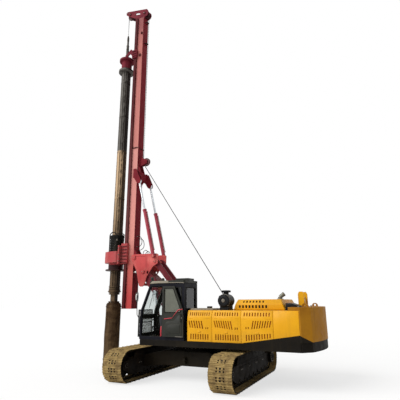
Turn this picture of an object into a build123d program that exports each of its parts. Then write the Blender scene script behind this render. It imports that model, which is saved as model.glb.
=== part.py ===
"""Crawler rotary drilling rig, in millimetres.

+X is the upper structure's front, +Y its left (cab) side and +Z is up. The origin lies on the
ground under the slewing axis. The tracks run along Y, a quarter turn from the upper structure.
"""

import os
from math import cos, hypot, pi, sin

from build123d import *

os.makedirs("parts", exist_ok=True)

# Clearances
SEAT_GAP = 0.3
PIN_PLAY = 0.5
RUN_GAP = 10
BITE = 5

# Undercarriage
TRACK_CENTRE = 1765
TRACK_LENGTH = 4800
TRACK_HEIGHT = 980
SHOE_WIDTH = 690
SHOE_COUNT = 46
SHOE_GAP = 8
GROUSER = 26
SHOE_BAND = 30
CHAIN_DEPTH = 110
CHAIN_HALF_WIDTH = 100
CHEEK_IN = 150
CHEEK_OUT = 185
CHEEK_END = 130
CHEEK_HALF = 100
CHEEK_SHOULDER = 250
CHEEK_TOE = 330
CHEEK_LIFT = 54
CHEEK_CORNER = 60
FRAME_PLATE = 50
FRAME_DROP = 33.7
FRAME_END = 470
ROLLER_RADIUS = 95
ROLLER_FLANGE = 17
ROLLER_HALF = 104
ROLLER_FLANGE_WIDTH = 28
ROLLER_SHAFT = 35
ROLLER_STEP = 430
ROLLER_SETBACK = 620
CARRIER_RADIUS = 80
CARRIER_HALF = 111
CARRIER_SETBACK = 1290
FORK_THICK = 22
FORK_HALF = 55
FORK_RISE = 46
SPROCKET_TEETH = 21
TOOTH_DEPTH = 36
SPROCKET_HALF = 42
SPROCKET_HUB = 165
DRIVE_RADIUS = 185
DRIVE_DEPTH = 105
DRIVE_CAP_RADIUS = 120
DRIVE_CAP_DEPTH = 35
IDLER_HALF = 70
IDLER_HUB = 120
PLATE_RADIUS = TRACK_HEIGHT / 2 - GROUSER
CHAIN_RADIUS = PLATE_RADIUS - CHAIN_DEPTH
HALF_STRAIGHT = TRACK_LENGTH / 2 - TRACK_HEIGHT / 2
AXLE_Z = TRACK_HEIGHT / 2
ROLLER_Z = GROUSER + CHAIN_DEPTH + ROLLER_RADIUS + SEAT_GAP
ROLLER_END = HALF_STRAIGHT - ROLLER_SETBACK
ROLLER_COUNT = round(2 * ROLLER_END / ROLLER_STEP) + 1
CARRIER_Z = TRACK_HEIGHT - GROUSER - CHAIN_DEPTH - CARRIER_RADIUS - SEAT_GAP
CARRIER_Y = HALF_STRAIGHT - CARRIER_SETBACK
FRAME_TOP = CARRIER_Z - CARRIER_RADIUS - FRAME_DROP

# Centre frame and slewing ring
BODY_HALF_X = 800
BODY_HALF_Y = 860
BODY_BOTTOM = 440
BODY_TOP = 880
LEG_Y = 700
LEG_HALF = 190
LEG_DROP = 320
LEG_RISE = 50
LEG_SLOPE = 20
RING_FOOT_RADIUS = 740
RING_RADIUS = 700
RING_BORE = 605
RING_FOOT = 930
RING_TOP = 1050
SPIGOT_BOTTOM = 945
SPIGOT_WALL = 105
TOW_EYE_Y = 960
TOW_EYE_Z = 600
TOW_EYE_BORE = 40
TOW_EYE_HALF = 30
# step out from the eye, step up
TOW_LUG = ((-120, -120), (50, -80), (80, 0), (50, 80), (-120, 120))

# Upper structure
HALF_WIDTH = 1455
DECK_BOTTOM = 1060
DECK_TOP = 1240
DECK_FRONT = 1400
DECK_REAR = -3450
DECK_PLATE = 40
DECK_INSET = 15
FRONT_BEAM = 30
TURNTABLE_HALF = 700
GIRDER_IN = 320
GIRDER_THICK = 50
SKIRT_THICK = 35
PANEL_THICK = 40
PANEL_BOTTOM = DECK_TOP
PANEL_GAP = 6
RISE_START = -2080
RISE_TOP = 1500
CREASE_Z = 1940
CREASE_INSET = 8
PANEL_TOP = 2145
PANEL_LEAN = 70
BAY_FRONT = -330
BAY_REAR = -1750
TAIL_REAR = -3760
# front end of each side panel
PANEL_FRONTS = (-333, -1163, -2083, -3033)
SLOT_HALF = 520
COVER_THICK = 40
COVER_HALF = HALF_WIDTH - PANEL_LEAN - PANEL_THICK
COVER_BOTTOM = PANEL_TOP - COVER_THICK
BULKHEAD = 20
HOOD_FRONT = -1660
HOOD_REAR = -3280
HOOD_HALF = 900
HOOD_TOP = 2465
HOOD_CHAMFER_Y = 110
HOOD_CHAMFER_Z = 140
HOOD_FRONT_SLOPE = 115
HOOD_REAR_SLOPE = 130
HOOD_WALL = 30
HOOD_LEDGE = 60
TAIL_BOX_IN = 150
TAIL_BOX_RISE = 200
TAIL_BOX_INSET = 20
ENGINE_FRONT = -2000
ENGINE_REAR = -3150
ENGINE_HALF = 430
ENGINE_TOP = 2040
WEIGHT_TOP = 2240
WEIGHT_SPLIT = 1305
WEIGHT_SHOULDER = 35
WEIGHT_CORNER_X = 290
WEIGHT_CORNER_Y = 235
WEIGHT_BULGE = 510
WEIGHT_BASE_INSET = 15
EYE_SETBACK = 100
EYE_Y = 910
EYE_HALF = 30
EYE_RISE = 45
EYE_BORE = 35
# step ahead of the eye, step over the weight's top
EYE_LUG = ((-100, -10), (-80, 70), (-30, 110), (30, 110), (80, 70), (100, -10))
REST_SETBACK = 200
REST_HALF = 90
REST_SADDLE_HALF = 50
REST_BASE = 60
REST_SEAT = 2500
REST_IN = 285
REST_OUT = 320
REST_HORN = 190
REST_SHOULDER = 120
AIR_SETBACK = 330
AIR_RADIUS = 192
AIR_RISE = 285
AIR_LENGTH = 480
AIR_INSET = 225
AIR_FOOT_HALF = 140
AIR_FOOT_INSET = 40
NECK_RADIUS = 85
NECK_TOP = 254
CAP_RADIUS = 140
CAP_HEIGHT = 60
EXHAUST_SETBACK = 100
EXHAUST_INSET = 400
EXHAUST_RADIUS = 60
EXHAUST_RISE = 75
EXHAUST_OUT = 110
EXHAUST_UP = 80
EXHAUST_COLLAR = 95
EXHAUST_COLLAR_HEIGHT = 20
TANK_IN = 540
TANK_INSET = 15
FUEL_REAR = 320
FUEL_FRONT = 950
FUEL_TOP = 2120
FUEL_CHAMFER_X = 50
FUEL_CHAMFER_Z = 60
FUEL_CORNER = 30
STEP_FRONT = 1330
STEP_TOP = 1680
STEP_FALL = 40
STEP_CHAMFER = 30
OIL_REAR = -320
OIL_FRONT = 300
OIL_TOP = 2130
OIL_CORNER = 40
BREATHER_X = -20
BREATHER_Y = -1000
BREATHER_RADIUS = 90
BREATHER_HEIGHT = 50

# Winch
WINCH = (-1250, 1800)
WINCH_IN = 380
WINCH_OUT = 410
WINCH_FOOT = 390
WINCH_FLOOR = 30
DRUM_RADIUS = 200
DRUM_HALF = 335
DRUM_FLANGE = 330
DRUM_FLANGE_THICK = 35
DRUM_SHAFT = 45
SHAFT_PLAY = 1
MOTOR_RADIUS = 165
MOTOR_DEPTH = 94
MOTOR_FOOT_HALF = 80
MOTOR_FOOT_DROP = 120
# step ahead of the drum's axis, step up
WINCH_CROWN = ((-230, 250), (-130, 330), (130, 330), (230, 250))

# Cab
CAB_REAR = -220
CAB_FRONT = 1430
CAB_RIGHT = 500
CAB_LEFT = HALF_WIDTH
CAB_MIDDLE = (CAB_RIGHT + CAB_LEFT) / 2
CAB_WALL = 50
CAB_FLOOR_TOP = 1300
CAB_EAVES = 3000
CAB_ROOF = 3080
CAB_CORNER = 30
DOORWAY_CORNER = 40
DOOR_CORNER = 30
FRONT_LIGHT_CORNER = 40
BROW_X = CAB_FRONT - 370
KNEE = (CAB_FRONT - 30, 2150)
SILL_Z = 1900
PANE = 8
PANE_INSET = 22
LIGHT_CORNER = 60
LIGHT_BOTTOM = 2050
LIGHT_TOP = CAB_EAVES - 150
HINGE_X = 560
HINGE_Y = CAB_LEFT + 20
HINGE_RADIUS = 16
HINGE_HEIGHT = 100
HINGE_STRAP = 12
HINGE_SIDE_GAP = 3
HINGE_PAD = 40
DOOR_GAP = 8
DOOR_SILL = CAB_FLOOR_TOP + 40
DOOR_TOP = CAB_EAVES - 100
DOOR_REAR = HINGE_X + 30
DOOR_FRONT = CAB_FRONT - 70
PULL_RADIUS = 12
PULL_INSET = 82
PULL_LOW = 1800
PULL_HIGH = 2040
PULL_REACH = 45
PULL_BRACKET = 8
FRONT_STILE = 110
ROOF_REAR = 20
ROOF_SIDE = 15
ROOF_BROW = 25
ROOF_CORNER = 60
HATCH_SETBACK = 90
HATCH_FRONT = 360
HATCH_IN = 40
HATCH_OUT = 455
HATCH_TOP = 3165
HATCH_CORNER = 30
GUARD_SETBACK = 70
GUARD_THICK = 30
GUARD_STILE = 40
GUARD_INSET = 60
GUARD_TOP = 2160
GUARD_BAR = 10
GUARD_BARS = 10
SEAT_X = 420
SEAT_BASE_HALF_X = 200
SEAT_HALF = 180
SEAT_BASE_TOP = 1640
SEAT_PAD_TOP = 1780
SEAT_PAD_HALF = 240
SEAT_PAD_REAR = 20
SEAT_PAD_FRONT = 40
SEAT_BACK_FOOT = 80
SEAT_BACK_SHOULDER = 100
SEAT_BACK_CORNER = 18
# steps ahead of the pad's rear edge: foot, front edge and rear edge of the back rest
SEAT_BACK_REAR_FOOT = -30
SEAT_BACK_FRONT_FOOT = 110
SEAT_BACK_FRONT = 10
SEAT_BACK_CREST = -30
SEAT_BACK_REAR_CREST = -120
SEAT_BACK_REAR = -140
SEAT_BACK_TOP = 2420
CONSOLE_INSET = 80
CONSOLE_GAP = 22.5
CONSOLE_WIDTH = CAB_MIDDLE - CAB_RIGHT - CONSOLE_INSET - SEAT_PAD_HALF - CONSOLE_GAP
CONSOLE_REAR = 180
CONSOLE_FRONT = 740
CONSOLE_TOP = 1960
CONSOLE_REAR_FALL = 60
CONSOLE_NOSE = 120
CONSOLE_NOSE_FALL = 30
CONSOLE_TOE = 100
CONSOLE_CORNER = 30
LEVER_X = 650
LEVER_RADIUS = 14
LEVER_TOP = 2190
KNOB_RADIUS = 26
KNOB_HEIGHT = 100
MIRROR_ARM = 12
MIRROR_INSET = 25
MIRROR_FOOT_Z = 1830
MIRROR_REACH = 130
MIRROR_ELBOW_Z = 2000
MIRROR_BOTTOM = 2420
MIRROR_TOP = 2720
MIRROR_WIDTH = 80
MIRROR_DEPTH = 50
MIRROR_CORNER = 36
MIRROR_LEAN = 40
MIRROR_ARM_GAP = 2
MIRROR_PAD = 15
MIRROR_PAD_HALF = 18
MIRROR_PAD_LOW = 50
MIRROR_PAD_HIGH = 30
CLAMP_DEPTH = 20
CLAMP_HALF = 30
CAB_SIDE = [(CAB_REAR, DECK_TOP), (CAB_REAR, CAB_EAVES), (BROW_X, CAB_EAVES), KNEE, (CAB_FRONT, SILL_Z),
            (CAB_FRONT, DECK_TOP)]
DOOR_OPENING = [(DOOR_REAR, DOOR_SILL), (DOOR_REAR, DOOR_TOP), (BROW_X - 25, DOOR_TOP),
                (KNEE[0] - 60, KNEE[1]),
                (DOOR_FRONT, SILL_Z), (DOOR_FRONT, DOOR_SILL)]
DOOR_LEAF = [(DOOR_REAR + DOOR_GAP, DOOR_SILL + DOOR_GAP), (DOOR_REAR + DOOR_GAP, DOOR_TOP - DOOR_GAP),
             (BROW_X - 25 - DOOR_GAP, DOOR_TOP - DOOR_GAP), (KNEE[0] - 60 - DOOR_GAP, KNEE[1] - PIN_PLAY),
             (DOOR_FRONT - DOOR_GAP, SILL_Z), (DOOR_FRONT - DOOR_GAP, DOOR_SILL + DOOR_GAP)]
DOOR_LIGHT = [(DOOR_REAR + 70, LIGHT_BOTTOM + 30), (DOOR_REAR + 70, DOOR_TOP - 75),
              (BROW_X - 75, DOOR_TOP - 75),
              (KNEE[0] - 155, KNEE[1] + 40), (KNEE[0] - 138, LIGHT_BOTTOM + 30)]
REAR_SIDE_LIGHT = [(CAB_REAR + 90, LIGHT_BOTTOM), (CAB_REAR + 90, LIGHT_TOP), (HINGE_X - 130, LIGHT_TOP),
                   (HINGE_X - 130, LIGHT_BOTTOM)]
RIGHT_LIGHT = [(CAB_REAR + 90, SILL_Z + 50), (CAB_REAR + 90, LIGHT_TOP), (BROW_X - 60, LIGHT_TOP),
               (KNEE[0] - 125, KNEE[1]), (CAB_FRONT - 110, SILL_Z + 50)]
BACK_LIGHT = [(CAB_RIGHT + 140, LIGHT_BOTTOM), (CAB_RIGHT + 140, LIGHT_TOP), (CAB_LEFT - 140, LIGHT_TOP),
              (CAB_LEFT - 140, LIGHT_BOTTOM)]
# bottom and top of the two front lights
FRONT_LIGHTS = ((CAB_FLOOR_TOP + 120, SILL_Z - 40), (SILL_Z + 110, CAB_EAVES - 110))

# Boom linkage
BOOM_FOOT = (870, 2000)
BOOM_HEAD = (2130, 3500)
LINK_FOOT = (360, 2360)
LINK_HEAD = (1620, 3860)
BOOM_HALF = 250
BOOM_WALL = 30
BOOM_EYE = 132
# share of the boom's length, step across it
BOOM_EDGE = ((0.0, -130), (0.3, -180), (0.75, -180), (1.0, -130), (1.0, 130), (0.75, 220), (0.3, 220),
             (0.0, 130))
FOOT_IN = 260
FOOT_OUT = 300
PIN_RADIUS = 55
PIN_END = 25
LINK_PIN = 40
LINK_HALF = 95
LINK_IN = 150
LINK_OUT = 230
LINK_EYE = 104
LUFF_BASE = (1290, 1340)
LUFF_EYE = (1560, 2740)
LUFF_Y = 330
LUFF_PIN = 35
LUFF_EAR = 25
LUFF_EAR_GAP = 70
LUFF_BARREL = 960
LUFF_BARREL_RADIUS = 62
LUFF_ROD_RADIUS = 38
LUFF_ROD_START = 700
LUFF_ROD_EYE = 70
LUFF_BOSS = 75
LUFF_BOSS_DEPTH = 28
# pin, step ahead, step up
FOOT_PLATE = ((LINK_FOOT, -150, 110), (LINK_FOOT, -70, 140), (LINK_FOOT, 80, 140), (LINK_FOOT, 160, 40),
              (BOOM_FOOT, 100, 140), (BOOM_FOOT, 150, 60), (BOOM_FOOT, 150, -100))
FOOT_HEEL = 400
FOOT_TOE = 230
FOOT_REAR = LINK_FOOT[0] - FOOT_HEEL
FOOT_FRONT = BOOM_FOOT[0] + FOOT_TOE
LUFF_LUG = ((LUFF_BASE, -80, 30), (LUFF_BASE, -30, 70), (LUFF_BASE, 30, 70), (LUFF_BASE, 80, 30))
LUFF_LUG_HALF = 100

# Mast
KELLY_X = 3650
MAST_BACK = 2670
MAST_FRONT = 2950
MAST_HALF = 200
MAST_WALL = 16
MAST_CAP = 20
MAST_BOTTOM = 2160
MAST_SPLICE = 8700
MAST_TOP = 15290
RAIL_FRONT = 3080
RAIL_IN = 150
RAIL_OUT = 260
PIVOT = (2560, 4060)
PIVOT_PIN = 60
MAST_LUG_IN = 140
MAST_LUG_OUT = 198
CRADLE_IN = 285
CRADLE_OUT = 320
CRADLE_TOE = (2185, 3045)
CRADLE_TOE_RADIUS = 50
CRADLE_BEAM = 50
CRADLE_BEAM_REAR = 480
CRADLE_BEAM_FRONT = 240
TILT_BASE = (1640, 4050)
TILT_EYE = (2400, 7100)
TILT_Y = 400
TILT_PIN = 40
TILT_PIN_END = 60
TILT_BARREL = 1900
TILT_BARREL_RADIUS = 70
TILT_ROD_RADIUS = 42
TILT_ROD_START = 1300
TILT_ROD_EYE = 85
EAR_NEAR = 50
EAR_FAR = 75
BRACKET_DEPTH = 140
BRACKET_LOW = 170
BRACKET_HIGH = 500
GUSSET_IN = 120
GUSSET_OUT = 160
GUSSET_TOP = 350
GUSSET_TIP = 40
GUSSET_TIP_FALL = 20
GUSSET_LAP = 20
GUSSET_FOOT = 40
BACK_SHEAVE = (2360, 8050)
BACK_SHEAVE_RADIUS = 172
BACK_SHEAVE_BORE = 35
SHEAVE_ARM_IN = 50
SHEAVE_ARM_OUT = 72
SHEAVE_PIN_END = 8
CROWN_FRONT_SHEAVE = (3480, 15770)
CROWN_REAR_SHEAVE = (2670, 15560)
SHEAVE_RADIUS = 195
SHEAVE_BORE = 40
SHEAVE_HALF = 32
GROOVE_HALF = 14
GROOVE_DEPTH = 25
CROWN_IN = 120
CROWN_OUT = 152
CROWN_FOOT = 60
CROWN_PIN_END = 18
CARRIAGE_HALF = 310
CARRIAGE_HOOK = 45
CARRIAGE_PLAY = 8
HEAD_BOTTOM = 3900
HEAD_TOP = 4330
HEAD_PLATE = 120
HEAD_CARRIAGE_DROP = 50
HEAD_CARRIAGE_RISE = 310
HEAD_FLANGE_HALF = 455
HEAD_FLANGE = 45
HEAD_FLANGE_DROP = 70
HEAD_FLANGE_RISE = 230
# step ahead of the kelly bar, half width
HEAD_CASE = ((-460, 380), (-350, 475), (50, 475), (270, 360), (390, 170))
SLEEVE_RADIUS = 290
SLEEVE_DROP = 260
RELEASE_RADIUS = 395
RELEASE_DROP = 290
RELEASE_THICK = 45
HEAD_MOTOR_SETBACK = 260
HEAD_MOTOR_Y = 330
GEAR_RADIUS = 135
GEAR_HEIGHT = 230
HEAD_MOTOR_RADIUS = 100
HEAD_MOTOR_HEIGHT = 430
DAMPER_RADIUS = 265
DAMPER_FOOT = 275
DAMPER_FOOT_HEIGHT = 60
DAMPER_CAP = 290
DAMPER_BODY_HEIGHT = 620
DAMPER_HEIGHT = 690
FEED_UP = 2500
CROWD_X = 3010
CROWD_RADIUS = 55
CROWD_ROD_RADIUS = 32
CROWD_LENGTH = 4000
CROWD_END = 50
CROWD_SADDLE = 100
CROWD_SADDLE_INSET = 60
CROWD_ROD_TOP = 8400
CLEVIS_LOW = 170
CLEVIS_HIGH = 270
CLEVIS_HALF = 45
CLEVIS_DEPTH = 50
CROWD_SPARE = 100
CROWD_BOTTOM = HEAD_TOP + CLEVIS_HIGH + FEED_UP + CROWD_SPARE
# pin, step ahead, step up
CRADLE_PLATE = ((LINK_HEAD, -120, -70), (TILT_BASE, -150, 80), (TILT_BASE, -80, 110), (PIVOT, -110, 115),
                (PIVOT, 80, 110), (PIVOT, 120, 60), (PIVOT, 110, -80), (BOOM_HEAD, 300, 60),
                (CRADLE_TOE, 105, -45),
                (CRADLE_TOE, 45, -85), (CRADLE_TOE, -55, -85), (CRADLE_TOE, -125, -25),
                (BOOM_HEAD, -180, -170),
                (LINK_HEAD, 80, -170))
CRADLE_SLOT = ((BOOM_HEAD, -225, -90), (BOOM_HEAD, -255, 20), (BOOM_HEAD, -185, 40), (BOOM_HEAD, -155, -70))
CRADLE_SLOT_CORNER = 25
MAST_LUG = ((PIVOT, -60, -100), (PIVOT, -105, 0), (PIVOT, -60, 95))
MAST_LUG_LOW = 360
MAST_LUG_HIGH = 360
TILT_EAR = ((TILT_EYE, -85, 70), (TILT_EYE, -95, -20), (TILT_EYE, -60, -90), (TILT_EYE, 0, -105),
            (TILT_EYE, 60, -90))
TILT_EAR_TOP = 540
TILT_EAR_FOOT = 230
SHEAVE_ARM = ((BACK_SHEAVE, 240, 240), (BACK_SHEAVE, -70, 70), (BACK_SHEAVE, -70, -70))
SHEAVE_ARM_TOP = 250
SHEAVE_ARM_FOOT = 190
CROWN_PLATE = ((CROWN_REAR_SHEAVE, -160, -150), (CROWN_REAR_SHEAVE, -210, -40),
               (CROWN_REAR_SHEAVE, -190, 100),
               (CROWN_REAR_SHEAVE, -120, 190), (CROWN_FRONT_SHEAVE, 170, 220), (CROWN_FRONT_SHEAVE, 240, 160),
               (CROWN_FRONT_SHEAVE, 225, 60), (CROWN_FRONT_SHEAVE, 90, -60), (CROWN_FRONT_SHEAVE, -320, -336))
CROWN_WINDOW = ((CROWN_REAR_SHEAVE, 250, -20), (CROWN_REAR_SHEAVE, 250, 110), (CROWN_FRONT_SHEAVE, -330, -30),
                (CROWN_FRONT_SHEAVE, -300, -170))
CROWN_WINDOW_CORNER = 30
CROWN_TOE_RISE = 40
CROWN_HEEL_RISE = 60
SPREADER_REAR = 440
SPREADER_FRONT = 380
SPREADER_LOW = 350
SPREADER_HIGH = 250

# Drill string
KELLY_RADIUS = 180
KELLY_RIB = 205
KELLY_RIB_HALF = 30
KELLY_RIB_ROOT = 20
KELLY_RIBS = 6
KELLY_BORE = 150
KELLY_BOTTOM = 2870
KELLY_TOP = 12760
KELLY_RUN_GAP = 12
KELLY_FLANGE = 342
KELLY_FLANGE_DEPTH = 90
KELLY_COLLAR = 225
KELLY_COLLAR_DEPTH = 110
CORE_RADIUS = 130
CORE_STUB_HALF = 100
CORE_COLLAR = 185
CORE_COLLAR_DEPTH = 70
CORE_EYE = 66
CORE_RISE = 60
GUIDE_BOTTOM = KELLY_TOP + RUN_GAP
GUIDE_TOP = 13340
GUIDE_SLEEVE = 235
GUIDE_RING = 330
GUIDE_RING_DEPTH = 90
GUIDE_PLATE = 70
GUIDE_CARRIAGE_DROP = 200
GUIDE_CARRIAGE_RISE = 200
GUIDE_ARM_IN = 215
GUIDE_ARM_OUT = 260
GUIDE_HEEL = (RAIL_FRONT, GUIDE_TOP)
GUIDE_AXIS = (KELLY_X, GUIDE_TOP)
# pin, step ahead, step up
GUIDE_ARM = ((GUIDE_HEEL, 40, -120), (GUIDE_HEEL, 40, 190), (GUIDE_HEEL, 170, 340), (GUIDE_AXIS, -90, 90),
             (GUIDE_AXIS, -90, -60), (GUIDE_HEEL, 220, 110))
SWIVEL_LOW = 560
SWIVEL_HIGH = 1040
SWIVEL_RADIUS = 45
SWIVEL_BULGE = 60
SWIVEL_BULGE_LOW = 60
SWIVEL_BULGE_HIGH = 260
SOCKET_RADIUS = 24
SOCKET_HEIGHT = 80
TOOL_BOTTOM = 20
TOOL_TOP = 2430
TOOL_RADIUS = 285
TOOL_TEETH = 6
TOOL_SKIRT = 110
TOOL_SHOULDER = 100
TOOL_NECK = 25
TOOL_BOX_HALF = 150
TOOTH_HALF = 32
TOOTH_LENGTH = 120
TOOTH_ROOT = 85
TOOTH_FRONT = 80
TOOTH_BACK = 60
TOOTH_TIP_OUT = 23
TOOTH_TIP_IN = 47


def block(x0, x1, y0, y1, z0, z1):
    """Return a box between two corners."""
    centre = Pos((x0 + x1) / 2, (y0 + y1) / 2, (z0 + z1) / 2)
    return centre * Box(abs(x1 - x0), abs(y1 - y0), abs(z1 - z0))


def outline(points, radius=0):
    """Return a flat face inside a closed line, its corners rounded when a radius is given."""
    if radius:
        return make_face(FilletPolyline(*points, radius=radius, close=True))
    return make_face(Polyline(*points, close=True))


def prism_y(points, y0, y1, radius=0):
    """Return an outline in X and Z carried from y0 to y1."""
    face = Plane.XZ * outline(points, radius)
    return Pos(0, y0, 0) * extrude(face, y1 - y0, dir=(0, 1, 0))


def prism_x(points, x0, x1, radius=0):
    """Return an outline in Y and Z carried from x0 to x1."""
    face = Plane.YZ * outline(points, radius)
    return Pos(x0, 0, 0) * extrude(face, x1 - x0, dir=(1, 0, 0))


def prism_z(points, z0, z1, radius=0):
    """Return an outline in X and Y carried from z0 to z1."""
    return Pos(0, 0, z0) * extrude(outline(points, radius), z1 - z0, dir=(0, 0, 1))


def rod(start, end, radius):
    """Return a round bar between two points."""
    axis = Vector(*end) - Vector(*start)
    plane = Plane(origin=start, z_dir=axis)
    return extrude(plane * Circle(radius), axis.length)


def rod_x(y, z, radius, x0, x1):
    """Return a round bar along X."""
    return rod((x0, y, z), (x1, y, z), radius)


def rod_y(at, radius, y0, y1):
    """Return a round bar along Y through a point in X and Z."""
    return rod((at[0], y0, at[1]), (at[0], y1, at[1]), radius)


def rod_z(x, y, radius, z0, z1):
    """Return a round bar along Z."""
    return rod((x, y, z0), (x, y, z1), radius)


def along(start, end, distance):
    """Return the point at a distance from start towards end, in X and Z."""
    length = hypot(end[0] - start[0], end[1] - start[1])
    share = distance / length
    return (start[0] + (end[0] - start[0]) * share, start[1] + (end[1] - start[1]) * share)


def around(rows):
    """Return the points of rows that each give a pin and the steps ahead of it and up from it."""
    return [(pin[0] + ahead, pin[1] + up) for pin, ahead, up in rows]


def both(make):
    """Return the left and the right copy of a shape made for a side of +1 or -1."""
    return make(1) + make(-1)


def save(name, *shapes):
    """Write one named piece, as one solid or as several that do not touch."""
    solids = []
    for shape in shapes:
        solids.extend(shape.solids())
    export_step(solids[0] if len(solids) == 1 else Compound(children=solids), f"parts/{name}.step")


def loop_frame(run):
    """Return the point, run direction and outward direction at a run along the shoe plates."""
    straight = 2 * HALF_STRAIGHT
    arc = pi * PLATE_RADIUS
    run %= 2 * (straight + arc)
    far = run >= straight + arc
    run -= (straight + arc) if far else 0
    side = -1 if far else 1
    if run < straight:
        return side * (run - HALF_STRAIGHT), -side * PLATE_RADIUS, (side, 0), (0, -side)
    turn = -pi / 2 + (run - straight) / PLATE_RADIUS
    out = (side * cos(turn), side * sin(turn))
    at = side * HALF_STRAIGHT + PLATE_RADIUS * out[0]
    return at, PLATE_RADIUS * out[1], (-out[1], out[0]), out


def track_loop(side):
    """Return one track: its chain, shoe plates and grousers as one loop."""
    pitch = (4 * HALF_STRAIGHT + 2 * pi * PLATE_RADIUS) / SHOE_COUNT
    edge = (pitch - SHOE_GAP) / 2
    low = GROUSER * 0.7
    # share of half a shoe's length, rise of its face
    face = ((-1.0, 0), (-0.76, 0), (-0.7, GROUSER), (-0.6, GROUSER), (-0.54, 0), (-0.145, 0), (0.0, low),
            (0.145, 0), (0.54, 0), (0.67, low), (0.8, 0), (1.0, 0))
    points = []
    for index in range(SHOE_COUNT):
        y, z, ahead, out = loop_frame((index + 0.5) * pitch)
        for share, rise in face:
            step = share * edge
            points.append((y + ahead[0] * step + out[0] * rise, z + ahead[1] * step + out[1] * rise))
        y, z, ahead, out = loop_frame((index + 1) * pitch)
        points.append((y - out[0] * SHOE_BAND * 0.4, z - out[1] * SHOE_BAND * 0.4))
    outer = make_face(Polyline(*points, close=True))
    shoes = outer - stadium(PLATE_RADIUS - SHOE_BAND)
    chain = stadium(PLATE_RADIUS - SHOE_BAND + BITE) - stadium(CHAIN_RADIUS)
    place = Pos(side * TRACK_CENTRE, 0, AXLE_Z)
    band = extrude(Plane.YZ * shoes, SHOE_WIDTH / 2, both=True)
    links = extrude(Plane.YZ * chain, CHAIN_HALF_WIDTH, both=True)
    return place * (band + links)


def stadium(radius):
    """Return a track-shaped face, two half circles joined by straights."""
    return SlotCenterToCenter(2 * HALF_STRAIGHT, 2 * radius)


def wheel(side, y, z, steps):
    """Return a roller or wheel on one track from steps of radius and half width."""
    shape = None
    for radius, half in steps:
        disc = rod_x(y, z, radius, side * TRACK_CENTRE - half, side * TRACK_CENTRE + half)
        shape = disc if shape is None else shape + disc
    return shape


def track_frame(side):
    """Return one track frame: two cheeks, a top plate and the carrier roller forks."""
    end = HALF_STRAIGHT
    bottom = GROUSER + CHAIN_DEPTH + CHEEK_LIFT
    half = [(end + CHEEK_END, AXLE_Z + CHEEK_HALF), (end + CHEEK_END, AXLE_Z - CHEEK_HALF),
            (end - CHEEK_TOE, bottom)]
    cheek = [(end - CHEEK_SHOULDER, FRAME_TOP), *half]
    cheek += [(-y, z) for y, z in reversed(cheek)]
    x = side * TRACK_CENTRE
    frame = block(x - CHEEK_IN, x + CHEEK_IN, -end + FRAME_END, end - FRAME_END, FRAME_TOP - FRAME_PLATE,
                  FRAME_TOP)
    for way in (1, -1):
        low, high = sorted((x + way * CHEEK_IN, x + way * CHEEK_OUT))
        frame += prism_x(cheek, low, high, CHEEK_CORNER)
        for y in (-CARRIER_Y, CARRIER_Y):
            frame += block(x + way * CARRIER_HALF, x + way * (CARRIER_HALF + FORK_THICK), y - FORK_HALF,
                           y + FORK_HALF,
                           FRAME_TOP - BITE, CARRIER_Z + FORK_RISE)
    return frame


def sprocket(side):
    """Return one toothed drive sprocket with its hub."""
    tip = CHAIN_RADIUS - SEAT_GAP
    root = CHAIN_RADIUS - TOOTH_DEPTH
    points = []
    for index in range(SPROCKET_TEETH):
        for share, radius in ((0.0, root), (0.3, root), (0.45, tip), (0.85, tip)):
            turn = 2 * pi * (index + share) / SPROCKET_TEETH
            points.append((-HALF_STRAIGHT + radius * cos(turn), AXLE_Z + radius * sin(turn)))
    x = side * TRACK_CENTRE
    hub = rod_x(-HALF_STRAIGHT, AXLE_Z, SPROCKET_HUB, x - CHEEK_IN + SEAT_GAP, x + CHEEK_IN - SEAT_GAP)
    return prism_x(points, x - SPROCKET_HALF, x + SPROCKET_HALF) + hub


def final_drive(side):
    """Return one drive motor cover outside its track frame."""
    face = side * (TRACK_CENTRE + CHEEK_OUT)
    lid = face + side * DRIVE_DEPTH
    cover = rod_x(-HALF_STRAIGHT, AXLE_Z, DRIVE_RADIUS, face, lid)
    return cover + rod_x(-HALF_STRAIGHT, AXLE_Z, DRIVE_CAP_RADIUS, lid, lid + side * DRIVE_CAP_DEPTH)


def rollers():
    """Return the lower rollers and carrier rollers of both tracks."""
    pieces = []
    for side in (1, -1):
        x = side * TRACK_CENTRE
        for index in range(ROLLER_COUNT):
            y = -ROLLER_END + 2 * ROLLER_END * index / (ROLLER_COUNT - 1)
            body = wheel(side, y, ROLLER_Z,
                         ((ROLLER_RADIUS, ROLLER_HALF), (ROLLER_SHAFT, CHEEK_IN - SEAT_GAP)))
            for way in (1, -1):
                rim = x + way * ROLLER_HALF
                body += rod_x(y, ROLLER_Z, ROLLER_RADIUS + ROLLER_FLANGE, rim,
                              rim + way * ROLLER_FLANGE_WIDTH)
            pieces.append(body)
        for y in (-CARRIER_Y, CARRIER_Y):
            pieces.append(wheel(side, y, CARRIER_Z, ((CARRIER_RADIUS, CARRIER_HALF - SEAT_GAP),)))
    return pieces


def idlers():
    """Return the front idlers of both tracks."""
    steps = ((CHAIN_RADIUS - SEAT_GAP, IDLER_HALF), (IDLER_HUB, CHEEK_IN - SEAT_GAP))
    return [wheel(side, HALF_STRAIGHT, AXLE_Z, steps) for side in (1, -1)]


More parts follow.
